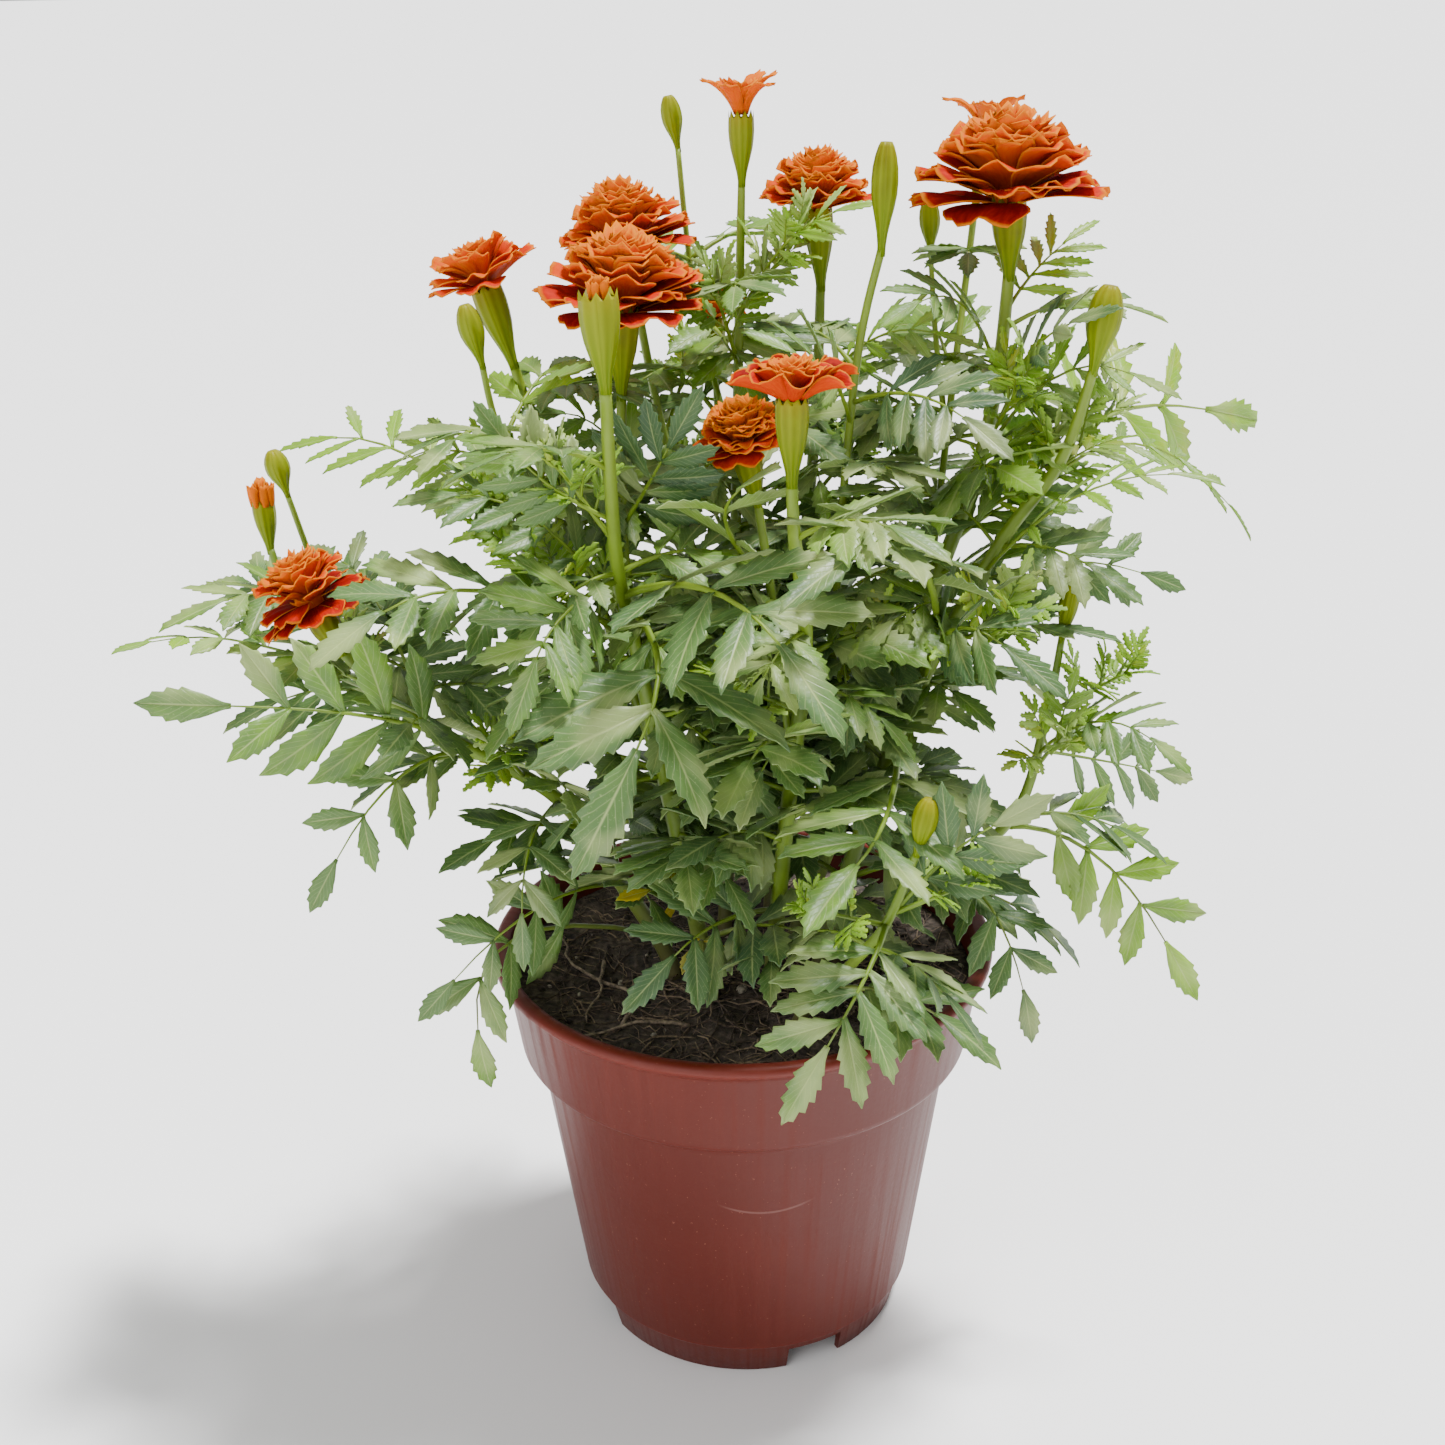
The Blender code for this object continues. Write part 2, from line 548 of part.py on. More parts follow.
def leaf_surface(root, middle, tip, pairs, leaflet, face, grow=0.0, lift=0.0):
    """One compound leaf as an open surface: points in millimetres and triangles.
    Its leaflets are cut to the rib in the leaf's one outline."""
    points = []
    triangles = []

    def frame(t):
        place, along = rib(root, middle, tip, t)
        side = Vector(face).cross(along).normalized()
        up = along.cross(side).normalized()
        return place, along, side, up

    def add(point):
        points.append(point)
        return len(points) - 1

    length = sum((rib(root, middle, tip, (k + 1) / 8)[0] - rib(root, middle, tip, k / 8)[0]).length
                 for k in range(8))
    last = max(0.5, min(0.86, 1 - leaflet * END_LEAFLET / length))
    first = PAIRS_FROM if pairs > 1 else ONE_PAIR_AT
    half_base = min(BASE_HALF_MOST, leaflet * BASE_HALF) / length
    spots = [first + (last - 0.05 - first) * k / max(pairs - 1, 1) for k in range(pairs)]
    stations = [0.0]
    for spot in spots:
        stations += [spot - half_base, spot + half_base]
    stations.append(last)
    width = RIB_HALF + grow
    ribbon = []
    for t in stations:
        place, _, side, up = frame(t)
        ribbon.append((add(place + side * width + up * lift), add(place - side * width + up * lift)))
    for (a, b), (c, d) in zip(ribbon, ribbon[1:]):
        triangles += [(a, b, d), (a, d, c)]

    def blade(base_a, base_b, path, size):
        """A leaflet from a base edge, along a path of (place, side)."""
        low = (base_a, base_b)
        for share, wide in (SMALL_LEAFLET if leaflet < SMALL_UNDER else LEAFLET):
            place, side = path(share)
            half = size * LEAFLET_HALF * wide + grow
            high = (add(place + side * half), add(place - side * half))
            triangles.extend([(low[0], low[1], high[1]), (low[0], high[1], high[0])])
            low = high
        place, side = path(1.0)
        end = add(place + (grow * frame(1.0)[1]))
        triangles.append((low[0], low[1], end))

    def last_path(share):
        place, _, side, up = frame(last + (1 - last) * share)
        return place + up * lift, side

    blade(ribbon[-1][0], ribbon[-1][1], last_path, leaflet * END_LEAFLET)
    for k, spot in enumerate(spots):
        place, along, side, up = frame(spot)
        angle = math.radians(FIRST_PAIR_DEG + (LAST_PAIR_DEG - FIRST_PAIR_DEG) * k / max(pairs - 1, 1))
        size = leaflet * (0.82 + 0.18 * math.sin(math.pi * (k + 0.6) / pairs))
        for sign, column in ((1, 0), (-1, 1)):
            out = along * math.cos(angle) + side * (sign * math.sin(angle))
            across = up.cross(out).normalized()

            def side_path(share, out=out, across=across, size=size, place=place, side=side, up=up, sign=sign):
                droop = up * (-LEAFLET_DROOP * size * share * share + lift)
                return place + side * (sign * width) + out * (size * share) + droop, across

            blade(ribbon[2 + 2 * k][column], ribbon[1 + 2 * k][column], side_path, size)
    return points, triangles


def leaf_solid(name, spec, where):
    """The leaf's surface given its thickness, its triangles alike on both faces."""
    points, triangles = leaf_surface(*spec)
    made = mesh_object(name, points, triangles, where)
    outward(made)
    shell = made.modifiers.new("thickness", "SOLIDIFY")
    shell.thickness = BLADE * MM
    shell.offset = 0.0
    return settle(made)


def moved(leaf, turn, lift, size):
    """A leaf's root, middle and tip after a turn about Z, a lift and a change of size."""
    root, middle, tip = (Vector(p) for p in leaf[1:4])
    root = on_shoot(leaf[0], root)
    flat = Vector((tip.x - root.x, tip.y - root.y, 0)).normalized()
    level = flat.cross(Vector((0, 0, 1)))
    spin = Matrix.Rotation(math.radians(turn), 3, "Z") @ Matrix.Rotation(math.radians(lift), 3, level)
    return (root, root + spin @ (middle - root) * size, root + spin @ (tip - root) * size,
            leaf[4], leaf[5] * size, leaf[6])


class Pieces:
    """The placed solids, kept as triangles with their node, to test a new leaf against."""

    def __init__(self):
        self.kept = []

    def add(self, node, item):
        mesh = item.data
        mesh.calc_loop_triangles()
        place = item.matrix_world
        points = [place @ v.co / MM for v in mesh.vertices]
        self.kept.append((node, points, [tuple(t.vertices) for t in mesh.loop_triangles]))

    def tree(self, wanted):
        points = []
        triangles = []
        for node, own_points, own_triangles in self.kept:
            if wanted(node):
                start = len(points)
                points += own_points
                triangles += [tuple(i + start for i in t) for t in own_triangles]
        return BVHTree.FromPolygons(points, triangles, epsilon=0.0) if triangles else None


def crosses(spec, tree):
    if tree is None:
        return False
    for lift in (-CLEAR, -BLADE / 2, BLADE / 2, CLEAR):
        points, triangles = leaf_surface(*spec, grow=0.5, lift=lift)
        if BVHTree.FromPolygons(points, triangles, epsilon=0.0).overlap(tree):
            return True
    return False


def clear_leaf(leaf, node, pieces):
    """The first try that crosses no other node and none of its own node's leaves; then no other node."""
    others = pieces.tree(lambda n: n != node and n != node + "/leaf")
    own = pieces.tree(lambda n: n == node + "/leaf")
    second = None
    for size in SIZES:
        for lift in LIFTS:
            for turn in TURNS:
                spec = moved(leaf, turn, lift, size)
                if crosses(spec, others):
                    continue
                if not crosses(spec, own):
                    return spec
                if second is None:
                    second = spec
    return second


def flower_surface(core_r, spread, count, layers):
    """A flower's one surface: out along each layer's lower face, back along its upper face, and up to the
    next. Each layer's edge is cut between its petals and ruffled, and its triangles are alike on both faces."""
    spots = 3 * count
    step = math.tau / spots

    def level(radius, z):
        return [(radius * math.cos(step * i), radius * math.sin(step * i), z) for i in range(spots)]

    z = GAP
    rings = [level(core_r, z)]
    for number, (share, rise, thick) in enumerate(layers):
        radius = spread / 2 * share
        slope = math.radians(rise)
        for face in (-1, 1):
            ring = []
            for i in range(spots):
                kind = (i + number) % 3
                reach = radius * PETAL_REACH[kind]
                ruffle = radius * PETAL_RUFFLE[kind]
                run = core_r + (reach - core_r) * math.cos(slope) - face * BLADE / 2 * math.sin(slope)
                up = z + thick / 2 + (reach - core_r) * math.sin(slope) + face * BLADE / 2 * math.cos(slope)
                ring.append((run * math.cos(step * i), run * math.sin(step * i), up + ruffle))
            rings.append(ring)
        z += thick
        rings.append(level(core_r, z))
    crest_z = z + spread * CREST_HIGH
    rings.append(level(core_r * CREST_WIDE, crest_z))

    points = [p for ring in rings for p in ring]
    triangles = []
    for band in range(len(rings) - 1):
        for i in range(spots):
            after = (i + 1) % spots
            a, b = band * spots + i, band * spots + after
            c, d = a + spots, b + spots
            triangles += [(a, b, c), (b, d, c)] if band % 3 == 2 else [(a, b, d), (a, d, c)]
    low_cap = len(points)
    points += [(0, 0, GAP), (0, 0, crest_z)]
    top = (len(rings) - 1) * spots
    for i in range(spots):
        after = (i + 1) % spots
        triangles += [(low_cap, after, i), (low_cap + 1, top + i, top + after)]
    return points, triangles


def flower(name, head, spread, count, layers, where):
    """A flower's petals in layers round a small core, standing on its calyx."""
    end = Vector(HEADS[head][0])
    axis = (end - shoot_points(head)[-1]).normalized()
    core_r = min(HEADS[head][1] * CORE_OF_HEAD, spread * CORE_OF_SPREAD)
    made = mesh_object(name, *flower_surface(core_r, spread, count, layers), where)
    made.data.transform(Matrix.Translation(end * MM) @ axis.to_track_quat("Z", "Y").to_matrix().to_4x4())
    outward(made)
    finish(made, "flower")
    return made


def fill_leaves():
    """Leaves by rule: turned round the shoots by the golden angle, arching out and down to their tips."""
    out = []
    for name, count, low, high, reach in FILLS:
        points = shoot_points(name)
        for k in range(count):
            share = low + (high - low) * k / max(count - 1, 1)
            root = points[round(share * (len(points) - 1))]
            angle = math.radians(FILL_TURN_DEG * len(out))
            away = Vector((math.cos(angle), math.sin(angle), 0))
            size = reach * (1 - FILL_SHORTER * share)
            middle = root + away * (size / 2) + Vector((0, 0, FILL_ARCH * size))
            tip = root + away * size + Vector((0, 0, FILL_RISE * size))
            face = away * FILL_LEAN + Vector((0, 0, 1))
            out.append((name, root, middle, tip, 1, FILL_LEAFLET * size, face))
    return out


def main():
    clear_scene()
    plant = collection("potted_marigold")
    pieces = Pieces()
    pieces.add("pot", pot(plant))
    pieces.add("soil", soil(plant))

    solids = {name: [] for name in STEMS}
    owner = {}
    for name, (stem, _, low, high) in routes().items():
        owner[name] = stem
        for solid in shoot(name, low, high, plant):
            solids[stem].append(solid)
            pieces.add(stem, solid)
    for name, (head, spread, count, layers) in FLOWERS.items():
        pieces.add(name, flower(name, head, spread, count, layers, plant))

    for number, leaf in enumerate(LEAVES + fill_leaves()):
        node = owner[leaf[0]]
        spec = clear_leaf(leaf, node, pieces)
        if spec is None:
            raise ValueError("leaf %d, on %s, has no clear place" % (number, leaf[0]))
        solid = leaf_solid("leaf_%02d" % number, spec, plant)
        pieces.add(node + "/leaf", solid)
        solids[node].append(solid)

    for name, items in solids.items():
        made = join(items[0], items[1:], "UNION")
        made.name = name
        finish(made, "stem")


main()
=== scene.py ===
"""Potted marigold: the pot, its soil, the leafy stems and the flowers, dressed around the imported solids.
Tables are in millimetres, in the same frame as the solids: +Z up, the pot's axis at the origin."""
import math
import random

import bmesh
import bpy
import numpy as np
from bpy.props import FloatProperty, FloatVectorProperty, IntProperty, PointerProperty
from mathutils import Matrix, Vector, noise
from mathutils.geometry import intersect_point_line


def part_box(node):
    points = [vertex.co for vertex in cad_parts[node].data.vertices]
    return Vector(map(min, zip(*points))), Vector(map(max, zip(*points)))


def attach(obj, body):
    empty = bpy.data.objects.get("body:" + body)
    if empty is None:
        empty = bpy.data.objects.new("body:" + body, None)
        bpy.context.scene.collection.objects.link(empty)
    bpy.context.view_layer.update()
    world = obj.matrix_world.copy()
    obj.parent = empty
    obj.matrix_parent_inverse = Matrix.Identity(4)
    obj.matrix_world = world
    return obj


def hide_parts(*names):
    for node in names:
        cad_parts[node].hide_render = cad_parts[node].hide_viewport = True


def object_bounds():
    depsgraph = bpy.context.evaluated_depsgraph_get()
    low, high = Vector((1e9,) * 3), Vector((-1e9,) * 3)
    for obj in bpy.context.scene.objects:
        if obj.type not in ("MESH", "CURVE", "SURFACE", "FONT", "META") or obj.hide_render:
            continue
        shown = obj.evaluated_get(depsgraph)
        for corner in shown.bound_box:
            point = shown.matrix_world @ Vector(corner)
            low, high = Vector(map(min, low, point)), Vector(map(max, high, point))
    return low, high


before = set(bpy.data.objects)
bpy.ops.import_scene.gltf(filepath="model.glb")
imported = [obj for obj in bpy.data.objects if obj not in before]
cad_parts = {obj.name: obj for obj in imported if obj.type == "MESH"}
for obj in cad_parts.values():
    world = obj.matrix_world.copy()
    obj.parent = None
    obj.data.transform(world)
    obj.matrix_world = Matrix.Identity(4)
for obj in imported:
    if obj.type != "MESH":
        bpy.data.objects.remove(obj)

bl_info = {
    "name": "Potted marigold",
    "version": (1, 0, 0),
    "blender": (4, 5, 0),
    "location": "View3D > Sidebar > Marigold",
    "description": "Builds a potted marigold: pot, soil, leafy stems and flowers",
    "category": "Object",
}

MM = 0.001
CAD_LOW, CAD_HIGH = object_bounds()

# Pot
POT_LOW, POT_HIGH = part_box("pot")
RIM_Z = POT_HIGH.z / MM
RIM_R = 85.0
RIM_INNER_R = 79.4
LIP_R = 82.8
LIP_Z = RIM_Z - 4.8
BAND_TOP_R = 81.1
BAND_R = 77.2
BAND_Z = RIM_Z - 35.1
STEP_R = 73.8
STEP_Z = RIM_Z - 37.1
NECK_R = 71.0
NECK_Z = RIM_Z - 38.3
STEP_LIFT = 1.2
FOOT_R = 58.9
FOOT_Z = 13.2
BASE_R = 54.4
FOOT_WALL = 2.2
WALL = 1.9
FLOOR_TOP = 13.0
FLOOR_UNDER = 11.0
NOTCHES = 4
NOTCH_FIRST_DEG = -66.0
NOTCH_WIDTH = 20.0
NOTCH_HEIGHT = 9.5
NOTCH_DEEP = 14.0
DRAINS = 6
DRAIN_R = 5.0
DRAIN_RING_R = 32.0
SCRATCH_X = 6.0
SCRATCH_Z = 76.0

# Soil
SOIL_Z = 128.5
SOIL_EDGE = 1.1
# Pale roots on the soil: where each starts, its heading in radians and its length
ROOTS = [(-34, -22, 2.4, 62), (-18, -40, 3.3, 46), (-48, 2, 4.6, 40), (12, -52, 0.4, 36),
         (-40, -40, 0.9, 34), (30, 30, 0.2, 44), (52, -24, 2.2, 30)]

# How slim the shoots are above the soil, as a share of the radii below
SLIM_TOP = 0.76
# The ribbed cross section of a shoot: how many points, and how far out they lie for a radius of 1
SHOOT_SIDES = 14
RIDGE = 1.03
GROOVE = 0.93

# Each stem's route from its hole in the soil, its radius at the base and at the top
STEMS = {
    "stem_left": ([(-24, -6, 100), (-24, -6, 131), (-40, -8, 165), (-59, -10, 197), (-86, -15, 218),
                   (-106, -20, 234), (-122, -25, 256)], 2.9, 2.2),
    "stem_front_left": ([(-11, -23, 100), (-11, -23, 131), (-20, -28, 190), (-32, -30, 259),
                         (-35, -50, 291), (-35, -70, 345)], 3.0, 2.2),
    "stem_back": ([(-6, 21, 100), (-6, 21, 131), (-2, 28, 200), (0, 30, 280), (2, 30, 350),
                   (3, 25, 387)], 2.6, 1.5),
    "stem_front": ([(9, -21, 100), (9, -21, 131), (14, -34, 200), (19, -50, 263), (15, -70, 302),
                    (14, -75, 320)], 2.9, 2.0),
    "stem_right": ([(17, 6, 100), (17, 6, 131), (40, 6, 200), (70, 5, 285), (80, 10, 322),
                    (83, 10, 360)], 3.0, 2.4),
    "stem_back_right": ([(10, 27, 100), (10, 27, 131), (18, 36, 220), (26, 40, 300), (28, 40, 353)],
                        2.6, 2.0),
    "stem_low_right": ([(33, 2, 100), (33, 2, 131), (60, -6, 160), (88, -14, 190), (96, -20, 227),
                        (99.5, -20, 254)], 2.5, 1.4),
    "stem_upper_right": ([(24, -15, 100), (24, -15, 131), (50, -14, 220), (78, -15, 280), (96, -20, 310),
                          (104, -20, 337)], 2.8, 1.9),
    "stem_low_front": ([(17, -42, 100), (17, -42, 131), (30, -60, 160), (41, -80, 188), (49, -86, 215)],
                       2.3, 1.4),
}

# Side shoots: stem, route from inside that stem, radius at the root and at the top
FORKS = {
    "left_opening": ("stem_left", [(-86, -15, 218), (-120, 5, 235), (-146, 24, 254), (-154, 30, 272)],
                     1.8, 1.6),
    "left_bud": ("stem_left", [(-120, 5, 235), (-132, 8, 262), (-140.5, 5, 298)], 1.4, 1.2),
    "front_double": ("stem_front_left", [(-30, -29, 248), (-35, -12, 285), (-34, -10, 330)], 2.0, 2.0),
    "tilted": ("stem_front_left", [(-22, -28, 205), (-45, -5, 268), (-64, 10, 322), (-68, 10, 336)],
               2.0, 2.0),
    "tilted_bud": ("stem_front_left", [(-55, 3, 296), (-70, -8, 316), (-75, -10, 340)], 1.4, 1.3),
    "back_double": ("stem_back", [(-2, 28, 215), (-22, 38, 300), (-30, 40, 344)], 1.8, 1.8),
    "back_bud": ("stem_back", [(0, 30, 300), (-12, 57, 345), (-17, 64, 394)], 1.4, 1.2),
    "back_low": ("stem_back", [(-3, 27, 190), (-4, 60, 270), (-6, 79, 318)], 1.8, 1.6),
    "front_second": ("stem_front", [(16, -39, 218), (10, -24, 270), (6, -20, 298)], 1.8, 1.8),
    "right_tall_bud": ("stem_right", [(30, 6, 168), (31, -1, 260), (36, -5, 335), (43, -5, 370)], 1.8, 1.6),
    "right_opening": ("stem_right", [(61, 5, 262), (70, 34, 318), (77, 58, 355), (79, 60, 374)], 1.6, 1.5),
    "right_back_bud": ("stem_right", [(68, 27, 306), (66, 48, 335), (65, 60, 360)], 1.4, 1.1),
}

# Heads: the end of each calyx or bud, its width, what it is, and how brown its ribs are
HEADS = {
    "stem_left": ((-127, -25, 267), 9.3, "flower", 0.5),
    "stem_front_left": ((-36, -70, 369), 10.8, "flower", 0.1),
    "stem_back": ((3, 25, 406), 7.6, "flower", 0.1),
    "stem_front": ((14, -75, 342), 8.7, "flower", 0.25),
    "stem_right": ((82, 10, 382), 10.4, "flower", 1.0),
    "stem_back_right": ((27, 40, 377), 9.2, "flower", 0.2),
    "stem_low_right": ((102, -20, 273), 6.0, "bud", 0.1),
    "stem_upper_right": ((107.5, -20, 361), 10.0, "bud", 0.5),
    "stem_low_front": ((52, -86, 231), 7.3, "bud", 0.0),
    "left_opening": ((-155, 31, 288), 7.4, "flower", 0.5),
    "left_bud": ((-143.6, 5, 311), 7.5, "bud", 0.1),
    "front_double": ((-33, -10, 355), 10.2, "flower", 0.5),
    "tilted": ((-75, 10, 359), 9.6, "flower", 0.2),
    "tilted_bud": ((-79, -10, 357), 7.5, "bud", 0.1),
    "back_double": ((-33, 40, 366), 9.4, "flower", 0.3),
    "back_bud": ((-19.7, 64, 409.4), 6.8, "bud", 0.1),
    "back_low": ((-7, 81, 336), 8.6, "flower", 0.3),
    "front_second": ((2, -24, 317), 8.6, "flower", 0.3),
    "right_tall_bud": ((44, -5, 400), 7.8, "bud", 0.4),
    "right_opening": ((82, 60, 396), 7.2, "flower", 0.3),
    "right_back_bud": ((64, 60, 377), 6.8, "bud", 0.1),
}
# Share of a head's length, and there its share of the way from the shoot's radius to its full one
CALYX_PROFILE = [(0.0, 0.0), (0.10, 0.05), (0.20, 0.16), (0.30, 0.34), (0.42, 0.58), (0.54, 0.80),
                 (0.66, 0.93), (0.78, 1.0), (0.89, 1.0), (0.96, 0.98), (1.0, 0.96)]
BUD_PROFILE = [(0.0, 0.0), (0.10, 0.04), (0.20, 0.16), (0.31, 0.40), (0.43, 0.72), (0.55, 0.95),
               (0.66, 1.0), (0.78, 0.92), (0.88, 0.72), (0.96, 0.44), (1.0, 0.20)]
HEAD_SIDES = 20
HEAD_RIBS = 5

# Leaves, most visible first: shoot, root, middle, tip, pairs of leaflets, leaflet length, the way the
# upper side faces, leaflet form, and tone from 0, slate, to 1, fresh yellow-green, and above that yellowing
LEAVES = [
    ("stem_low_front", (42, -80, 188), (30, -105, 178), (7, -122, 146),
     4, 20, (0, -0.8, 0.6), "toothed", 0.42),
    ("stem_front_left", (-29, -35, 274), (-24, -85, 262), (-49, -110, 225),
     3, 31, (0, -1, 0.1), "toothed", 0.36),
    ("stem_front_left", (-29, -35, 280), (-3, -90, 292), (20, -120, 269),
     3, 25, (0, -0.6, 1), "toothed", 0.30),
    ("stem_left", (-88, -16, 220), (-114, -55, 247), (-170, -76, 259),
     4, 21, (0, -1, 0.35), "smooth", 0.55),
    ("stem_upper_right", (61, -15, 250), (45, -75, 301), (18, -105, 299),
     3, 24, (0, -0.5, 1), "toothed", 0.30),
    ("stem_left", (-86, -20, 215), (-108, -45, 218), (-132, -60, 182),
     3, 15, (0, -1, 0.5), "smooth", 0.35),
    ("stem_left", (-122, 2, 238), (-157, -12, 255), (-184, -40, 262),
     4, 12, (0, -0.1, 1), "smooth", 0.80),
    ("stem_upper_right", (94, -19, 306), (129, 35, 313), (184, 70, 298),
     3, 25, (0, -1, 0.3), "toothed", 0.95),
    ("stem_low_right", (85, -12, 187), (120, -20, 174), (149, -35, 128),
     4, 18, (0, -1, 0.5), "smooth", 0.78),
    ("stem_upper_right", (50, -14, 220), (25, -80, 222), (-1, -110, 219),
     3, 24, (0, -0.5, 1), "toothed", 0.50),
    ("stem_front_left", (-33, -32, 262), (-80, -60, 286), (-109, -85, 276),
     4, 21, (0, -0.5, 1), "toothed", 0.45),
    ("stem_front_left", (-34, -45, 283), (-52, -78, 280), (-58, -95, 262),
     4, 18, (0, -1, 0.3), "toothed", 0.55),
    ("stem_front_left", (-50, 0, 283), (-100, 22, 302), (-137, 35, 305),
     5, 17, (0, -0.6, 1), "narrow", 0.88),
    ("stem_left", (-40, -8, 165), (-67, -52, 178), (-99, -66, 150),
     3, 14, (0, -1, 0.3), "smooth", 0.30),
    ("stem_upper_right", (74, -15, 272), (102, -35, 305), (134, -45, 310),
     5, 13, (0, -0.2, 1), "narrow", 0.78),
    ("stem_upper_right", (90, -18, 300), (127, 0, 309), (165, 5, 275),
     5, 12, (0, -0.3, 1), "narrow", 0.72),
    ("stem_right", (82, 10, 348), (95, 20, 362), (114, 30, 374),
     4, 13, (0, -0.6, 1), "narrow", 0.95),
    ("stem_right", (60, 5, 256), (104, 10, 269), (144, 15, 257),
     4, 14, (0, -0.8, 0.5), "smooth", 0.25),
    ("stem_low_right", (94, -18, 216), (122, 0, 203), (152, 10, 192),
     4, 13, (0, -0.8, 0.5), "smooth", 0.40),
    ("stem_low_right", (68, -8, 168), (83, -34, 161), (93, -48, 122),
     3, 15, (0.3, -1, 0.2), "smooth", 0.20),
    ("stem_upper_right", (56, -14, 240), (66, -48, 268), (89, -62, 252),
     3, 19, (0, -0.7, 0.6), "toothed", 0.18),
    ("stem_low_front", (42, -80, 190), (63, -84, 218), (82, -90, 232),
     3, 16, (0, -1, 0.4), "smooth", 0.20),
    ("stem_front", (11, -26, 165), (-14, -52, 170), (-32, -66, 153),
     3, 19, (0, -0.8, 0.6), "toothed", 0.22),
    ("stem_left", (-59, -10, 197), (-74, -46, 196), (-78, -62, 168),
     3, 14, (-0.2, -1, 0.4), "smooth", 0.25),
    ("stem_front_left", (-35, -55, 304), (-56, -62, 320), (-66, -66, 338),
     4, 14, (0, -1, 0.4), "toothed", 0.50),
    ("front_double", (-34, -13, 290), (-24, -34, 312), (-12, -38, 334),
     4, 17, (0, -1, 0.2), "toothed", 0.06),
    ("front_second", (9, -23, 275), (-4, -58, 306), (10, -84, 324),
     2, 19, (0, -0.5, 1), "toothed", 0.60),
    ("right_tall_bud", (35, -4, 325), (54, -36, 333), (72, -58, 322),
     4, 16, (0, -0.8, 0.6), "toothed", 0.12),
    ("stem_back", (2, 30, 345), (19, 16, 372), (40, 10, 380), 4, 12, (0, -0.6, 0.8), "narrow", 0.85),
    ("stem_right", (79, 9, 318), (90, -15, 345), (103, -27, 352), 3, 14, (0, -0.6, 0.8), "toothed", 0.15),
    ("stem_back", (0, 30, 285), (-14, 74, 300), (-30, 122, 292), 3, 19, (0, 0.5, 1), "toothed", 0.45),
    ("stem_back", (-2, 27, 195), (-30, 72, 210), (-52, 106, 186), 3, 19, (0, 0.6, 1), "toothed", 0.35),
    ("stem_back_right", (18, 36, 225), (40, 80, 242), (62, 110, 222), 3, 19, (0, 0.6, 1), "toothed", 0.35),
    ("stem_back_right", (26, 40, 305), (46, 72, 324), (60, 102, 318), 3, 17, (0, 0.5, 1), "toothed", 0.50),
    ("stem_right", (44, 6, 212), (82, 40, 222), (112, 62, 198), 3, 18, (0.4, 0.4, 1), "toothed", 0.30),
    ("stem_left", (-52, -9, 186), (-84, 34, 200), (-108, 60, 178), 3, 18, (-0.4, 0.4, 1), "toothed", 0.30),
    ("tilted", (-48, -2, 276), (-72, 44, 290), (-92, 80, 276), 3, 17, (-0.3, 0.5, 1), "toothed", 0.50),
    ("back_low", (-4, 45, 235), (-46, 82, 250), (-70, 104, 238), 3, 17, (0, 0.5, 1), "toothed", 0.35),
    ("stem_left", (-30, -7, 145), (-77, -45, 162), (-80, -60, 120), 3, 17, (-0.3, -1, 0.3), "smooth", 0.55),
]
# Turns about Z in degrees, by a leaf's number from 0, that keep it clear of its neighbours
LEAF_TURNS = {9: 12, 21: -12, 23: 12}

# Leaves set by rule: shoot, how many, where the first and last sit along it, and their length
FILLS = [
    ("stem_left", 2, 0.35, 0.75, 58), ("stem_front_left", 3, 0.35, 0.85, 60), ("tilted", 1, 0.6, 0.6, 54),
    ("stem_back", 2, 0.45, 0.8, 56), ("stem_front", 3, 0.3, 0.8, 60), ("stem_right", 3, 0.35, 0.85, 58),
    ("right_tall_bud", 1, 0.5, 0.5, 52), ("right_opening", 1, 0.5, 0.5, 48),
]
FILL_TURNS = {4: 24, 7: 24, 8: -24, 10: 24}
GOLDEN_DEG = 137.5

# Finer leaves that only the visual model has, in the same order of values as the leaves above
MORE_LEAVES = [
    ("stem_front_left", (-13, -24, 160), (-26, -34, 176), (-36, -44, 176),
     1, 11, (0, -0.6, 1), "smooth", 1.45),
    ("stem_front_left", (-12, -24, 146), (-14, -38, 160), (-19, -52, 156),
     1, 10, (0, -0.6, 1), "smooth", 1.50),
    ("stem_back_right", (26, 40, 316), (48, 26, 340), (74, 14, 336), 4, 14, (0, -0.6, 1), "narrow", 0.80),
    ("stem_right", (75, 7, 302), (100, -6, 334), (128, -14, 326), 4, 14, (0, -0.6, 1), "narrow", 0.72),
    ("stem_right", (80, 10, 330), (64, -8, 356), (44, -22, 350), 4, 13, (0, -0.6, 1), "toothed", 0.55),
    ("right_tall_bud", (35, -4, 318), (22, -24, 342), (2, -36, 338),
     4, 14, (0, -0.7, 0.8), "toothed", 0.60),
    ("stem_front_left", (-33, -33, 266), (-62, -44, 304), (-90, -52, 308),
     4, 15, (0, -0.5, 1), "toothed", 0.45),
    ("tilted", (-52, 0, 288), (-84, -4, 312), (-114, 0, 300), 4, 15, (0, -0.5, 1), "narrow", 0.85),
    ("stem_left", (-98, -18, 228), (-118, 8, 264), (-138, 26, 270), 4, 14, (0, -0.6, 1), "toothed", 0.35),
    ("back_double", (-14, 33, 262), (-40, 20, 310), (-60, 6, 318), 4, 15, (0, -0.7, 0.8), "toothed", 0.62),
    ("stem_low_right", (94, -18, 214), (110, -44, 236), (130, -58, 226),
     4, 13, (0, -0.6, 1), "toothed", 0.50),
]

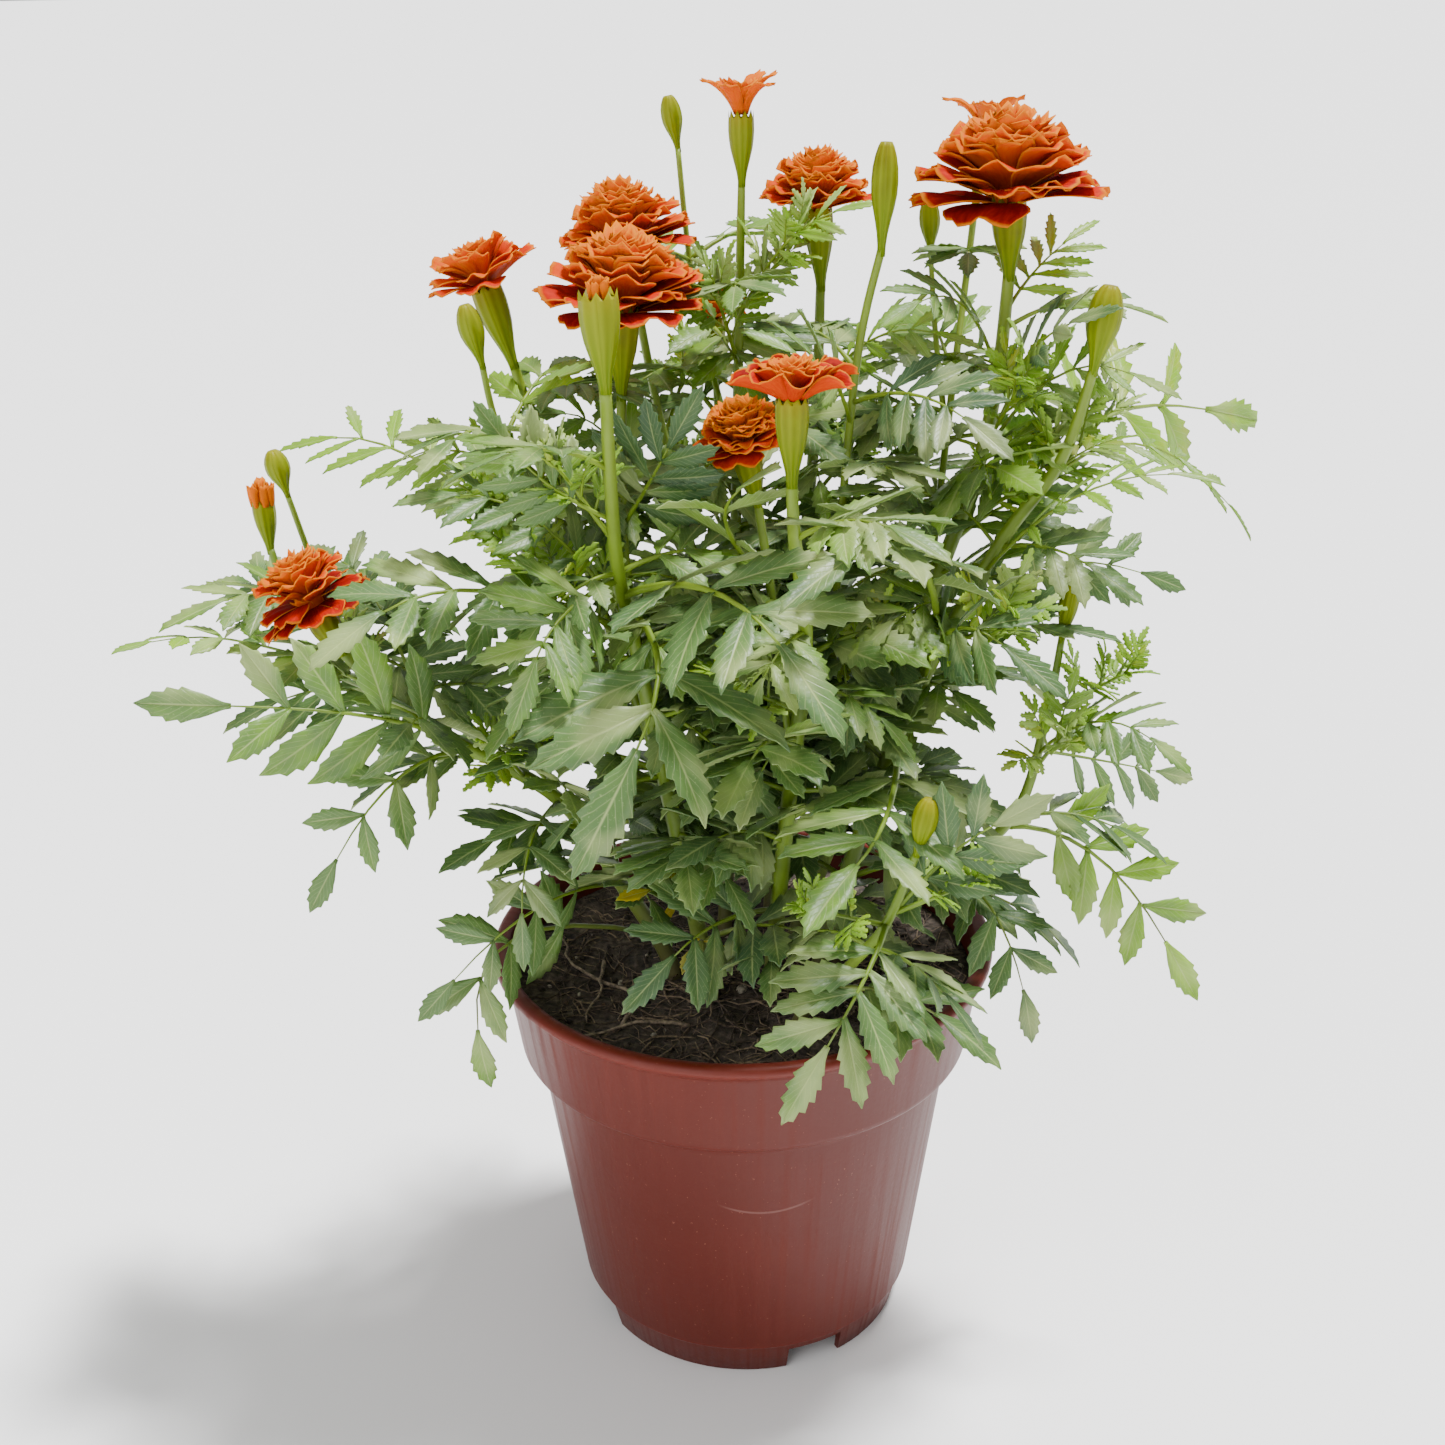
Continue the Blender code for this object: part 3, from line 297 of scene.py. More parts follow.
# Young sprigs in the leaf joints: shoot, the share of its height, its direction, and its length
SPRIGS = [
    ("stem_front_left", 0.62, (-0.9, -0.4, 0.9), 34), ("stem_front_left", 0.80, (-0.6, -0.3, 1.0), 24),
    ("tilted", 0.55, (-0.8, -0.5, 0.8), 30), ("stem_right", 0.80, (0.2, -0.8, 0.8), 30),
    ("right_tall_bud", 0.35, (0.4, -0.9, 0.6), 28), ("stem_upper_right", 0.62, (0.5, -0.9, 0.5), 30),
    ("stem_upper_right", 0.80, (0.8, 0.2, 0.9), 28), ("stem_low_right", 0.74, (0.1, -0.9, 0.8), 28),
    ("stem_low_right", 0.86, (0.8, -0.3, 0.6), 22), ("stem_low_front", 0.78, (-0.9, -0.3, 0.4), 20),
    ("stem_low_front", 0.82, (0.9, -0.2, 0.5), 20), ("stem_back", 0.80, (-0.2, -0.7, 0.8), 28),
    ("stem_back", 0.86, (0.6, -0.4, 0.8), 24), ("stem_front", 0.62, (-0.7, -0.6, 0.6), 26),
    ("stem_right", 0.70, (0.7, -0.5, 0.7), 28), ("stem_left", 0.62, (-0.2, -0.9, 0.8), 24),
    ("stem_left", 0.90, (-0.6, 0.3, 0.8), 20), ("stem_back_right", 0.72, (0.6, -0.2, 0.8), 26),
    ("back_double", 0.70, (0.3, 0.8, 0.8), 24), ("back_low", 0.60, (-0.4, 0.7, 0.7), 24),
]

# Flowers: node, shoot, spread, kind
FLOWERS = {
    "flower_top_right": ("stem_right", 54.0, "crested_red"),
    "flower_front_double": ("front_double", 48.0, "crested_red"),
    "flower_back_double": ("back_double", 42.0, "crested_orange"),
    "flower_back_right": ("stem_back_right", 36.0, "crested_orange"),
    "flower_tilted": ("tilted", 34.0, "open_orange"),
    "flower_front": ("stem_front", 31.0, "spooned"),
    "flower_front_second": ("front_second", 30.0, "crested_orange"),
    "flower_left": ("stem_left", 34.0, "crested_maroon"),
    "flower_back_low": ("back_low", 26.0, "open_orange"),
    "flower_opening_top": ("stem_back", 25.0, "straps_orange"),
    "flower_opening_right": ("right_opening", 26.0, "straps_yellow"),
    "flower_opening_left": ("left_opening", 14.0, "tips"),
    "flower_closed_front": ("stem_front_left", 9.0, "tips"),
}

# Petal layers of each kind: form, count, root radius and height as shares of half the spread, length share,
# rise and bend in degrees, tone from 0, yellow, to 1, deep red, and how wide for its length
LAYERS = {
    "crested_red": [
        ("quill", 10, 0.13, -0.20, 0.50, 84, -4, 0.50, 2.2),
        ("skirt", 7, 0.12, -0.04, 0.98, 18, -24, 0.92, 1.0),
        ("skirt", 7, 0.12, 0.02, 0.94, 28, -24, 0.80, 1.0),
        ("skirt", 7, 0.12, 0.07, 0.86, 38, -24, 0.66, 0.95),
        ("frill", 9, 0.10, 0.12, 0.84, 48, -22, 0.52, 1.2),
        ("frill", 9, 0.08, 0.14, 0.84, 58, -20, 0.42, 1.2),
        ("quill", 13, 0.16, 0.15, 0.76, 64, -22, 0.34, 1.7),
        ("quill", 14, 0.10, 0.17, 0.80, 74, -20, 0.24, 1.7),
        ("quill", 10, 0.04, 0.19, 0.84, 84, -16, 0.14, 1.7),
    ],
    "crested_orange": [
        ("quill", 10, 0.13, -0.20, 0.50, 84, -4, 0.45, 2.2),
        ("skirt", 7, 0.12, -0.03, 0.98, 22, -24, 0.68, 1.0),
        ("skirt", 7, 0.12, 0.03, 0.92, 32, -24, 0.52, 1.0),
        ("frill", 9, 0.10, 0.08, 0.88, 42, -22, 0.44, 1.2),
        ("frill", 9, 0.08, 0.12, 0.86, 54, -20, 0.34, 1.2),
        ("quill", 13, 0.16, 0.13, 0.80, 62, -20, 0.26, 1.7),
        ("quill", 14, 0.10, 0.15, 0.84, 74, -18, 0.20, 1.7),
        ("quill", 10, 0.04, 0.17, 0.86, 83, -16, 0.14, 1.7),
    ],
    "crested_maroon": [
        ("quill", 10, 0.13, -0.18, 0.70, 84, -4, 0.60, 2.0),
        ("skirt", 7, 0.12, 0.22, 0.94, 4, -28, 1.00, 0.95),
        ("skirt", 7, 0.12, 0.32, 0.90, 20, -26, 0.90, 0.95),
        ("frill", 8, 0.10, 0.44, 0.86, 36, -22, 0.58, 1.2),
        ("frill", 8, 0.08, 0.48, 0.84, 52, -20, 0.40, 1.2),
        ("quill", 12, 0.12, 0.46, 0.80, 62, -20, 0.28, 1.8),
        ("quill", 10, 0.05, 0.48, 0.80, 78, -18, 0.20, 1.8),
    ],
    "open_orange": [
        ("skirt", 6, 0.16, 0.00, 1.00, 30, -24, 0.70, 0.85),
        ("skirt", 6, 0.14, 0.05, 0.94, 42, -24, 0.48, 0.85),
        ("frill", 7, 0.10, 0.16, 0.80, 54, -20, 0.34, 1.2),
        ("quill", 11, 0.12, 0.14, 0.68, 66, -16, 0.24, 1.8),
        ("quill", 8, 0.05, 0.14, 0.70, 80, -16, 0.16, 1.8),
    ],
    "spooned": [
        ("spoon", 7, 0.22, 0.00, 1.00, 34, -34, 0.92, 1.1),
        ("spoon", 5, 0.20, 0.05, 0.84, 50, -30, 0.84, 1.1),
        ("quill", 11, 0.18, 0.12, 0.62, 64, -18, 0.16, 1.8),
        ("quill", 8, 0.06, 0.12, 0.60, 80, -14, 0.10, 1.8),
    ],
    "straps_orange": [
        ("strap", 6, 0.16, 0.00, 1.34, 68, -62, 0.34, 1.0),
        ("quill", 8, 0.12, 0.00, 0.90, 76, -20, 0.22, 1.8),
    ],
    "straps_yellow": [
        ("strap", 6, 0.16, 0.00, 1.34, 68, -60, 0.12, 1.0),
        ("quill", 9, 0.12, 0.00, 0.84, 78, -16, 0.08, 1.8),
    ],
    "tips": [
        ("quill", 7, 0.55, -0.25, 1.15, 74, 20, 0.10, 1.5),
        ("quill", 6, 0.25, -0.25, 1.35, 84, 14, 0.06, 1.5),
    ],
}

# Camera
FOCAL_PX = 1800.0
IMAGE_PX = 1445.0
SENSOR_MM = 36.0
CAMERA_AT = (-0.0056, -0.5421, 0.4450)
CAMERA_DOWN_DEG = 22.59
CAMERA_ROLL_DEG = 0.96

# Lights, in metres
KEY_AT = (0.42, 0.22, 1.60)
KEY_SPREAD_DEG = 10
FILL_AT = (-0.9, -1.2, 0.9)
FILL_SIZE = 1.2
LIGHTS_AIM = (0, 0, 0.24)


class PotSettings(bpy.types.PropertyGroup):
    rim_radius: FloatProperty(name="Rim radius", description="Outer radius of the rolled lip",
                              default=RIM_R * MM, subtype="DISTANCE", unit="LENGTH")
    sides: IntProperty(name="Sides", description="How finely the pot is turned", default=120, min=24)
    colour: FloatVectorProperty(name="Colour", description="Moulded plastic", subtype="COLOR",
                                default=(0.088, 0.0085, 0.0030))
    dust: FloatVectorProperty(name="Dust", description="Dusty streaks on the outside", subtype="COLOR",
                              default=(0.125, 0.020, 0.011))


class SoilSettings(bpy.types.PropertyGroup):
    bump: FloatProperty(name="Bump", description="How uneven the soil's top is", default=2.2 * MM,
                        subtype="DISTANCE", unit="LENGTH")
    fibres: IntProperty(name="Fibres", description="How many dry fibres lie on the soil", default=760, min=0)
    crumbs: IntProperty(name="Crumbs", description="How many crumbs lie on the soil", default=360, min=0)
    dark: FloatVectorProperty(name="Dark", description="Damp soil", subtype="COLOR",
                              default=(0.018, 0.015, 0.012))
    light: FloatVectorProperty(name="Light", description="Dry soil", subtype="COLOR",
                               default=(0.130, 0.100, 0.076))


class LeafSettings(bpy.types.PropertyGroup):
    thickness: FloatProperty(name="Thickness", description="Thickness of a leaflet", default=0.28 * MM,
                             subtype="DISTANCE", unit="LENGTH")
    joint: FloatProperty(name="Joint", description="Distance between leaf joints along a shoot",
                         default=20.0 * MM, subtype="DISTANCE", unit="LENGTH")
    deep: FloatVectorProperty(name="Deep", description="Slate leaves in shade", subtype="COLOR",
                              default=(0.048, 0.110, 0.046))
    middle: FloatVectorProperty(name="Middle", description="Grown leaves", subtype="COLOR",
                                default=(0.120, 0.225, 0.056))
    fresh: FloatVectorProperty(name="Fresh", description="Young leaves", subtype="COLOR",
                               default=(0.260, 0.480, 0.009))
    # The pale colour paints the veins and dots, and also the painted sunlit patches on the leaflets.
    pale: FloatVectorProperty(name="Pale", description="Pale patches and veins", subtype="COLOR",
                              default=(0.540, 0.620, 0.240))
    stem: FloatVectorProperty(name="Stem", description="Shoots and leaf stalks", subtype="COLOR",
                              default=(0.150, 0.245, 0.010))


class FlowerSettings(bpy.types.PropertyGroup):
    thickness: FloatProperty(name="Thickness", description="Thickness of a petal", default=0.32 * MM,
                             subtype="DISTANCE", unit="LENGTH")
    yellow: FloatVectorProperty(name="Yellow", description="Crest petals", subtype="COLOR",
                                default=(0.780, 0.190, 0.0))
    orange: FloatVectorProperty(name="Orange", description="Middle petals", subtype="COLOR",
                                default=(0.720, 0.075, 0.0))
    red: FloatVectorProperty(name="Red", description="Outer petals", subtype="COLOR",
                             default=(0.230, 0.001, 0.0))
    rim: FloatVectorProperty(name="Rim", description="Pale edge of a petal", subtype="COLOR",
                             default=(0.800, 0.260, 0.002))


class StageSettings(bpy.types.PropertyGroup):
    floor: FloatProperty(name="Floor", description="Side of the floor", default=120.0, subtype="DISTANCE",
                         unit="LENGTH")
    key: FloatProperty(name="Key light", description="Strength of the soft sun overhead", default=8.6)
    fill: FloatProperty(name="Fill light", description="Strength of the fill light", default=16.0,
                        unit="POWER")
    sky: FloatProperty(name="Surroundings", description="Strength of the plain surroundings", default=0.60)


def deselect():
    """Leave nothing selected, so that an operator acts only on what is added or picked next."""
    bpy.ops.object.select_all(action="DESELECT")


def pick(items):
    """Select these objects and make the first the active one."""
    deselect()
    for item in items:
        item.select_set(True)
    bpy.context.view_layer.objects.active = items[0]


def pick_points(item, chosen):
    """In edit mode, select these points and nothing else."""
    bm = bmesh.from_edit_mesh(item.data)
    bm.verts.ensure_lookup_table()
    for vert in bm.verts:
        vert.select = False
    for edge in bm.edges:
        edge.select = False
    for face in bm.faces:
        face.select = False
    for index in chosen:
        bm.verts[index].select = True
    bm.select_flush(True)
    bmesh.update_edit_mesh(item.data)


def apply_modifier(item, kind, **values):
    """Add a modifier with these values and apply it."""
    pick([item])
    made = item.modifiers.new(kind.lower(), kind)
    for key, value in values.items():
        setattr(made, key, value)
    bpy.ops.object.modifier_apply(modifier=made.name)


def join(name, items):
    pick(items)
    bpy.ops.object.join()
    made = bpy.context.object
    made.name = name
    made.data.name = name
    return made


def lathe(name, profile, sides):
    """A turned form: a ring that is drawn out and resized in edit mode along a profile of (radius, z), and
    capped at both ends."""
    deselect()
    radius, z = profile[0]
    bpy.ops.mesh.primitive_circle_add(vertices=sides, radius=radius * MM)
    made = bpy.context.object
    made.name = name
    bpy.ops.object.mode_set(mode="EDIT")
    bpy.ops.mesh.select_all(action="SELECT")
    bpy.ops.transform.translate(value=(0, 0, z * MM))
    for next_radius, next_z in profile[1:]:
        bpy.ops.mesh.extrude_region_move(TRANSFORM_OT_translate={"value": (0, 0, (next_z - z) * MM)})
        share = next_radius / radius
        bpy.ops.transform.resize(value=(share, share, 1), center_override=(0, 0, next_z * MM))
        radius, z = next_radius, next_z
    bpy.ops.mesh.edge_face_add()
    pick_points(made, range(sides))
    bpy.ops.mesh.edge_face_add()
    bpy.ops.mesh.select_all(action="SELECT")
    bpy.ops.mesh.normals_make_consistent(inside=False)
    bpy.ops.object.mode_set(mode="OBJECT")
    return made


class Form:
    """A small shape modelled once: its points, faces and surface coordinates, ready to be copied."""

    def __init__(self, item, uv=None):
        mesh = item.data
        flat = np.empty(len(mesh.vertices) * 3)
        mesh.vertices.foreach_get("co", flat)
        self.points = flat.reshape(-1, 3)
        self.faces = [tuple(p.vertices) for p in mesh.polygons]
        self.uv = np.array(uv) if uv is not None else self.points[:, :2].copy()
        bpy.data.objects.remove(item)


class Growth:
    """Copies of forms gathered into one mesh, with their surface coordinates and tones."""

    def __init__(self):
        self.points = []
        self.faces = []
        self.uv = []
        self.tone = []
        self.slots = []
        self.count = 0

    def add(self, points, faces, uv, tone, slot=0):
        start = self.count
        self.points.append(points)
        self.faces.extend([tuple(i + start for i in face) for face in faces])
        self.uv.append(uv)
        self.tone.append(np.full(len(points), tone))
        self.slots.extend([slot] * len(faces))
        self.count += len(points)

    def build(self, name, materials):
        mesh = bpy.data.meshes.new(name)
        mesh.from_pydata((np.concatenate(self.points) * MM).tolist(), [], self.faces)
        loops = np.empty(len(mesh.loops), dtype=np.int32)
        mesh.loops.foreach_get("vertex_index", loops)
        layer = mesh.uv_layers.new(name="surface")
        layer.data.foreach_set("uv", np.concatenate(self.uv)[loops].ravel())
        tones = mesh.attributes.new("tone", "FLOAT", "POINT")
        tones.data.foreach_set("value", np.concatenate(self.tone))
        mesh.polygons.foreach_set("material_index", self.slots)
        for material in materials:
            mesh.materials.append(material)
        made = bpy.data.objects.new(name, mesh)
        bpy.context.scene.collection.objects.link(made)
        return made


class Finish:
    """Short calls for the nodes of one procedural material."""

    def __init__(self, name, colour, rough):
        self.material = bpy.data.materials.new(name)
        self.material.use_nodes = True
        self.tree = self.material.node_tree
        self.main = self.tree.nodes["Principled BSDF"]
        self.main.inputs["Base Color"].default_value = (*colour, 1)
        self.main.inputs["Roughness"].default_value = rough

    def link(self, source, target):
        self.tree.links.new(source, target)

    def math(self, operation, a, b=None):
        made = self.tree.nodes.new("ShaderNodeMath")
        made.operation = operation
        for socket, value in zip(made.inputs, (a, b)):
            if value is None:
                continue
            if isinstance(value, (int, float)):
                socket.default_value = value
            else:
                self.link(value, socket)
        return made.outputs[0]

    def band(self, value, low, high):
        """0 below low, 1 above high, and even between them."""
        made = self.tree.nodes.new("ShaderNodeMapRange")
        self.link(value, made.inputs["Value"])
        made.inputs["From Min"].default_value = low
        made.inputs["From Max"].default_value = high
        return made.outputs[0]

    def surface(self):
        """The surface coordinates: along the form, and across it."""
        uv = self.tree.nodes.new("ShaderNodeUVMap")
        uv.uv_map = "surface"
        parts = self.tree.nodes.new("ShaderNodeSeparateXYZ")
        self.link(uv.outputs[0], parts.inputs[0])
        return parts.outputs[0], parts.outputs[1]

    def place(self):
        """The place on the object, in metres."""
        coordinates = self.tree.nodes.new("ShaderNodeTexCoord")
        parts = self.tree.nodes.new("ShaderNodeSeparateXYZ")
        self.link(coordinates.outputs["Object"], parts.inputs[0])
        return parts.outputs

    def attribute(self, name):
        made = self.tree.nodes.new("ShaderNodeAttribute")
        made.attribute_name = name
        return made.outputs["Fac"]

    def vector(self, x, y, z):
        made = self.tree.nodes.new("ShaderNodeCombineXYZ")
        for socket, value in zip(made.inputs, (x, y, z)):
            if isinstance(value, (int, float)):
                socket.default_value = value
            else:
                self.link(value, socket)
        return made.outputs[0]

    def noise(self, scale, detail=3.0, vector=None):
        made = self.tree.nodes.new("ShaderNodeTexNoise")
        made.inputs["Scale"].default_value = scale
        made.inputs["Detail"].default_value = detail
        if vector is None:
            vector = self.tree.nodes.new("ShaderNodeTexCoord").outputs["Object"]
        self.link(vector, made.inputs["Vector"])
        return made.outputs["Fac"]

    def ramp(self, value, stops):
        made = self.tree.nodes.new("ShaderNodeValToRGB")
        while len(made.color_ramp.elements) < len(stops):
            made.color_ramp.elements.new(0.5)
        for element, (place, colour) in zip(made.color_ramp.elements, stops):
            element.position = place
            element.color = (*colour, 1)
        self.link(value, made.inputs[0])
        return made.outputs[0]

    def blend(self, share, a, b):
        made = self.tree.nodes.new("ShaderNodeMix")
        made.data_type = "RGBA"
        for socket, value in ((made.inputs[0], share), (made.inputs[6], a), (made.inputs[7], b)):
            if isinstance(value, (int, float)):
                socket.default_value = value
            elif isinstance(value, tuple):
                socket.default_value = (*value, 1)
            else:
                self.link(value, socket)
        return made.outputs[2]

    def colour(self, value):
        self.link(value, self.main.inputs["Base Color"])

    def rough(self, value):
        self.link(value, self.main.inputs["Roughness"])

    def bump(self, height, strength, distance):
        made = self.tree.nodes.new("ShaderNodeBump")
        made.inputs["Strength"].default_value = strength
        made.inputs["Distance"].default_value = distance
        self.link(height, made.inputs["Height"])
        self.link(made.outputs[0], self.main.inputs["Normal"])

    def translucent(self, colour, share):
        """Light that shines through a thin leaf or petal."""
        through = self.tree.nodes.new("ShaderNodeBsdfTranslucent")
        if isinstance(colour, tuple):
            through.inputs[0].default_value = (*colour, 1)
        else:
            self.link(colour, through.inputs[0])
        mix = self.tree.nodes.new("ShaderNodeMixShader")
        mix.inputs[0].default_value = share
        self.link(self.main.outputs[0], mix.inputs[1])
        self.link(through.outputs[0], mix.inputs[2])
        self.link(mix.outputs[0], self.tree.nodes["Material Output"].inputs["Surface"])


def plastic(settings):
    """Moulded plastic with dusty streaks running down it, fine specks, a lip painted lighter, partly as a
    painted highlight, and a painted highlight along the foot's edge.
    """
    m = Finish("moulded plastic", settings.colour[:], 0.46)
    m.main.inputs["Specular IOR Level"].default_value = 0.28
    x, y, z = m.place()
    around = m.math("ARCTAN2", y, x)
    streaks = m.noise(1.0, 4.0, m.vector(m.math("MULTIPLY", around, 22.0), m.math("MULTIPLY", z, 9.0), 0.0))
    cloud = m.noise(14.0, 3.0)
    speck = m.noise(900.0, 2.0)
    dusty = m.math("MULTIPLY", m.band(streaks, 0.46, 0.78), m.band(cloud, 0.30, 0.72))
    colour = m.blend(m.math("MULTIPLY", dusty, 0.62), settings.colour[:], settings.dust[:])
    darker = tuple(0.70 * c for c in settings.colour)
    colour = m.blend(m.math("MULTIPLY", m.band(cloud, 0.62, 0.35), 0.4), colour, darker)
    # Painted highlight: the lip is painted lighter, partly as a highlight on its rolled top, and a thin band
    # along the foot's edge is painted lighter as a highlight.
    lip = m.band(z, LIP_Z * MM, (LIP_Z + 1.5) * MM)
    foot_highlight = m.math("MULTIPLY", m.band(z, (FOOT_Z - 1.5) * MM, (FOOT_Z - 0.5) * MM),
                       m.band(z, (FOOT_Z + 0.9) * MM, (FOOT_Z + 0.2) * MM))
    lip_and_foot_highlight = m.math("MAXIMUM", lip, foot_highlight)
    colour = m.blend(m.math("MULTIPLY", lip_and_foot_highlight, 0.45), colour, (0.140, 0.016, 0.007))
    colour = m.blend(m.math("MULTIPLY", m.band(speck, 0.70, 0.76), 0.5), colour, (0.26, 0.09, 0.06))
    off_middle = m.math("SUBTRACT", x, SCRATCH_X * MM)
    arc = m.math("ADD", SCRATCH_Z * MM, m.math("MULTIPLY", m.math("MULTIPLY", off_middle, off_middle), 14.0))
    near = m.math("SUBTRACT", 1.0, m.band(m.math("ABSOLUTE", m.math("SUBTRACT", z, arc)), 0.0002, 0.0006))
    within = m.math("SUBTRACT", 1.0, m.band(m.math("ABSOLUTE", off_middle), 0.010, 0.016))
    scratch = m.math("MULTIPLY", m.math("MULTIPLY", near, within), m.band(y, 0.0, -0.02))
    colour = m.blend(m.math("MULTIPLY", scratch, 0.55), colour, (0.18, 0.075, 0.062))
    m.colour(colour)
    grime = m.math("ADD", dusty, m.math("MULTIPLY", speck, 0.3))
    m.rough(m.math("ADD", 0.40, m.math("MULTIPLY", grime, 0.35)))
    m.bump(m.math("ADD", m.noise(420.0, 2.0), m.math("MULTIPLY", streaks, 1.5)), 0.12, 0.0004)
    return m.material


def earth(settings):
    """Damp crumbly soil with dry specks."""
    m = Finish("potting soil", settings.dark[:], 0.95)
    grain = m.noise(420.0, 6.0)
    patch = m.noise(60.0, 3.0)
    value = m.math("ADD", m.math("MULTIPLY", grain, 0.75), m.math("MULTIPLY", patch, 0.35))
    damp = (0.062, 0.047, 0.036)
    m.colour(m.ramp(value, [(0.40, settings.dark[:]), (0.56, damp), (0.72, settings.light[:])]))
    m.bump(grain, 0.9, 0.0016)
    return m.material


def crumb(name, colour):
    """Dry matter on the soil: a fibre, root or crumb of one colour, darker in patches."""
    m = Finish(name, colour, 0.9)
    grain = m.noise(700.0, 3.0)
    dark = tuple(0.35 * c for c in colour)
    m.colour(m.ramp(grain, [(0.35, dark), (0.65, colour)]))
    m.bump(grain, 0.6, 0.0006)
    return m.material


def blade_finish(name, settings, under):
    """A leaflet: green by its tone, with a pale midrib and side veins, and pale patches of painted sunlight.
    """
    m = Finish(name, settings.middle[:], 0.72 if under else 0.42)
    s, v = m.surface()
    edge = m.math("ABSOLUTE", v)
    mottle = m.math("MULTIPLY", m.math("SUBTRACT", m.noise(120.0, 3.0), 0.5), 0.55)
    tone = m.math("ADD", m.attribute("tone"), mottle)
    deep, middle, fresh, pale = (settings.deep[:], settings.middle[:], settings.fresh[:], settings.pale[:])
    if under:
        deep, middle = (0.110, 0.155, 0.052), (0.170, 0.235, 0.062)
    yellowed = (0.600, 0.420, 0.006)
    stops = [(0.0, deep), (0.34, middle), (0.66, fresh), (0.95, yellowed)]
    colour = m.ramp(m.math("DIVIDE", tone, 1.5), stops)
    # Painted light: pale patches of painted sunlight, fainter on the under side.
    patches = m.math("MULTIPLY", m.band(m.noise(38.0, 2.0), 0.50, 0.64), 0.30 if under else 0.50)
    colour = m.blend(patches, colour, pale)
    reach = m.math("SUBTRACT", s, m.math("MULTIPLY", edge, 0.26))
    lines = m.math("SINE", m.math("MULTIPLY", reach, 58.0))
    side_veins = m.band(lines, 0.84, 1.0)
    midrib = m.math("SUBTRACT", 1.0, m.band(edge, 0.02, 0.11))
    veins = m.math("MAXIMUM", midrib, m.math("MULTIPLY", side_veins, 0.5))
    colour = m.blend(m.math("MULTIPLY", veins, 0.55), colour, pale)
    dots = m.band(m.noise(1500.0, 1.0), 0.66, 0.74)
    colour = m.blend(m.math("MULTIPLY", dots, 0.25), colour, pale)
    m.colour(colour)
    height = m.math("SUBTRACT", m.math("MULTIPLY", m.noise(800.0, 2.0), 0.5), veins)
    m.bump(height, -0.35 if under else 0.35, 0.0007)
    m.translucent(m.blend(0.5, colour, (0.42, 0.66, 0.006)), 0.30)
    return m.material


def stem_finish(settings):
    """A ribbed green shoot, browner towards the soil."""
    m = Finish("green stem", settings.stem[:], 0.5)
    z = m.place()[2]
    patch = m.noise(90.0, 3.0)
    colour = m.ramp(patch, [(0.30, tuple(0.62 * c for c in settings.stem)), (0.70, settings.stem[:])])
    colour = m.blend(m.band(z, 0.175, 0.125), colour, (0.105, 0.085, 0.040))
    colour = m.blend(m.math("MULTIPLY", m.band(z, 0.25, 0.36), 0.5), colour, (0.24, 0.33, 0.010))
    m.colour(colour)
    m.bump(m.noise(600.0, 2.0), 0.25, 0.0005)
    return m.material


def calyx_finish():
    """A smooth ribbed calyx or bud: yellow-green, with ribs, and browner ones where its tone is high."""
    m = Finish("calyx", (0.30, 0.38, 0.05), 0.45)
    s, v = m.surface()
    tone = m.attribute("tone")
    wave = m.math("SINE", m.math("MULTIPLY", v, math.tau * HEAD_RIBS))
    ribs = m.math("ADD", 0.5, m.math("MULTIPLY", wave, 0.5))
    colour = m.ramp(s, [(0.0, (0.110, 0.190, 0.002)), (0.35, (0.150, 0.215, 0.002)),
                        (0.8, (0.200, 0.235, 0.002)), (1.0, (0.260, 0.235, 0.003))])
    colour = m.blend(m.math("MULTIPLY", ribs, 0.35), colour, (0.30, 0.34, 0.015))
    stain = m.math("MULTIPLY", m.band(m.noise(130.0, 3.0), 0.40, 0.62), m.band(s, 0.30, 0.85))
    between_ribs = m.math("SUBTRACT", 1.0, m.math("MULTIPLY", ribs, 0.6))
    stain = m.math("MULTIPLY", m.math("MULTIPLY", stain, between_ribs), tone)
    colour = m.blend(stain, colour, (0.070, 0.030, 0.010))
    m.colour(colour)
    m.bump(ribs, 0.35, 0.0008)
    m.main.inputs["Specular IOR Level"].default_value = 0.12
    m.translucent((0.36, 0.46, 0.002), 0.15)
    return m.material


def petal_finish(name, settings, under):
    """A petal: yellow to deep red by its tone, with fine streaks and a pale rim."""
    m = Finish(name, settings.orange[:], 0.62)
    s, v = m.surface()
    edge = m.math("ABSOLUTE", v)
    tone = m.attribute("tone")
    streaks = m.noise(1.0, 3.0, m.vector(m.math("MULTIPLY", s, 5.0), m.math("MULTIPLY", v, 11.0),
                                         m.math("MULTIPLY", tone, 9.0)))
    shade = m.math("ADD", m.math("MULTIPLY", tone, 0.55 if under else 1.0),
                   m.math("MULTIPLY", m.math("SUBTRACT", streaks, 0.5), 0.40))
    shade = m.math("ADD", shade, m.math("MULTIPLY", m.math("SUBTRACT", 0.50, s), 0.10 if under else 0.34))
    red_orange = (0.580, 0.018, 0.0)
    colour = m.ramp(shade, [(0.08, settings.yellow[:]), (0.40, settings.orange[:]), (0.66, red_orange),
                            (0.95, settings.red[:])])
    border = m.math("MAXIMUM", edge, s)
    colour = m.blend(m.math("MULTIPLY", m.band(border, 0.93, 0.98), 0.8), colour, settings.rim[:])
    m.colour(colour)
    m.bump(streaks, 0.30, 0.0005)
    m.main.inputs["Specular IOR Level"].default_value = 0.08
    m.translucent(colour, 0.34)
    return m.material


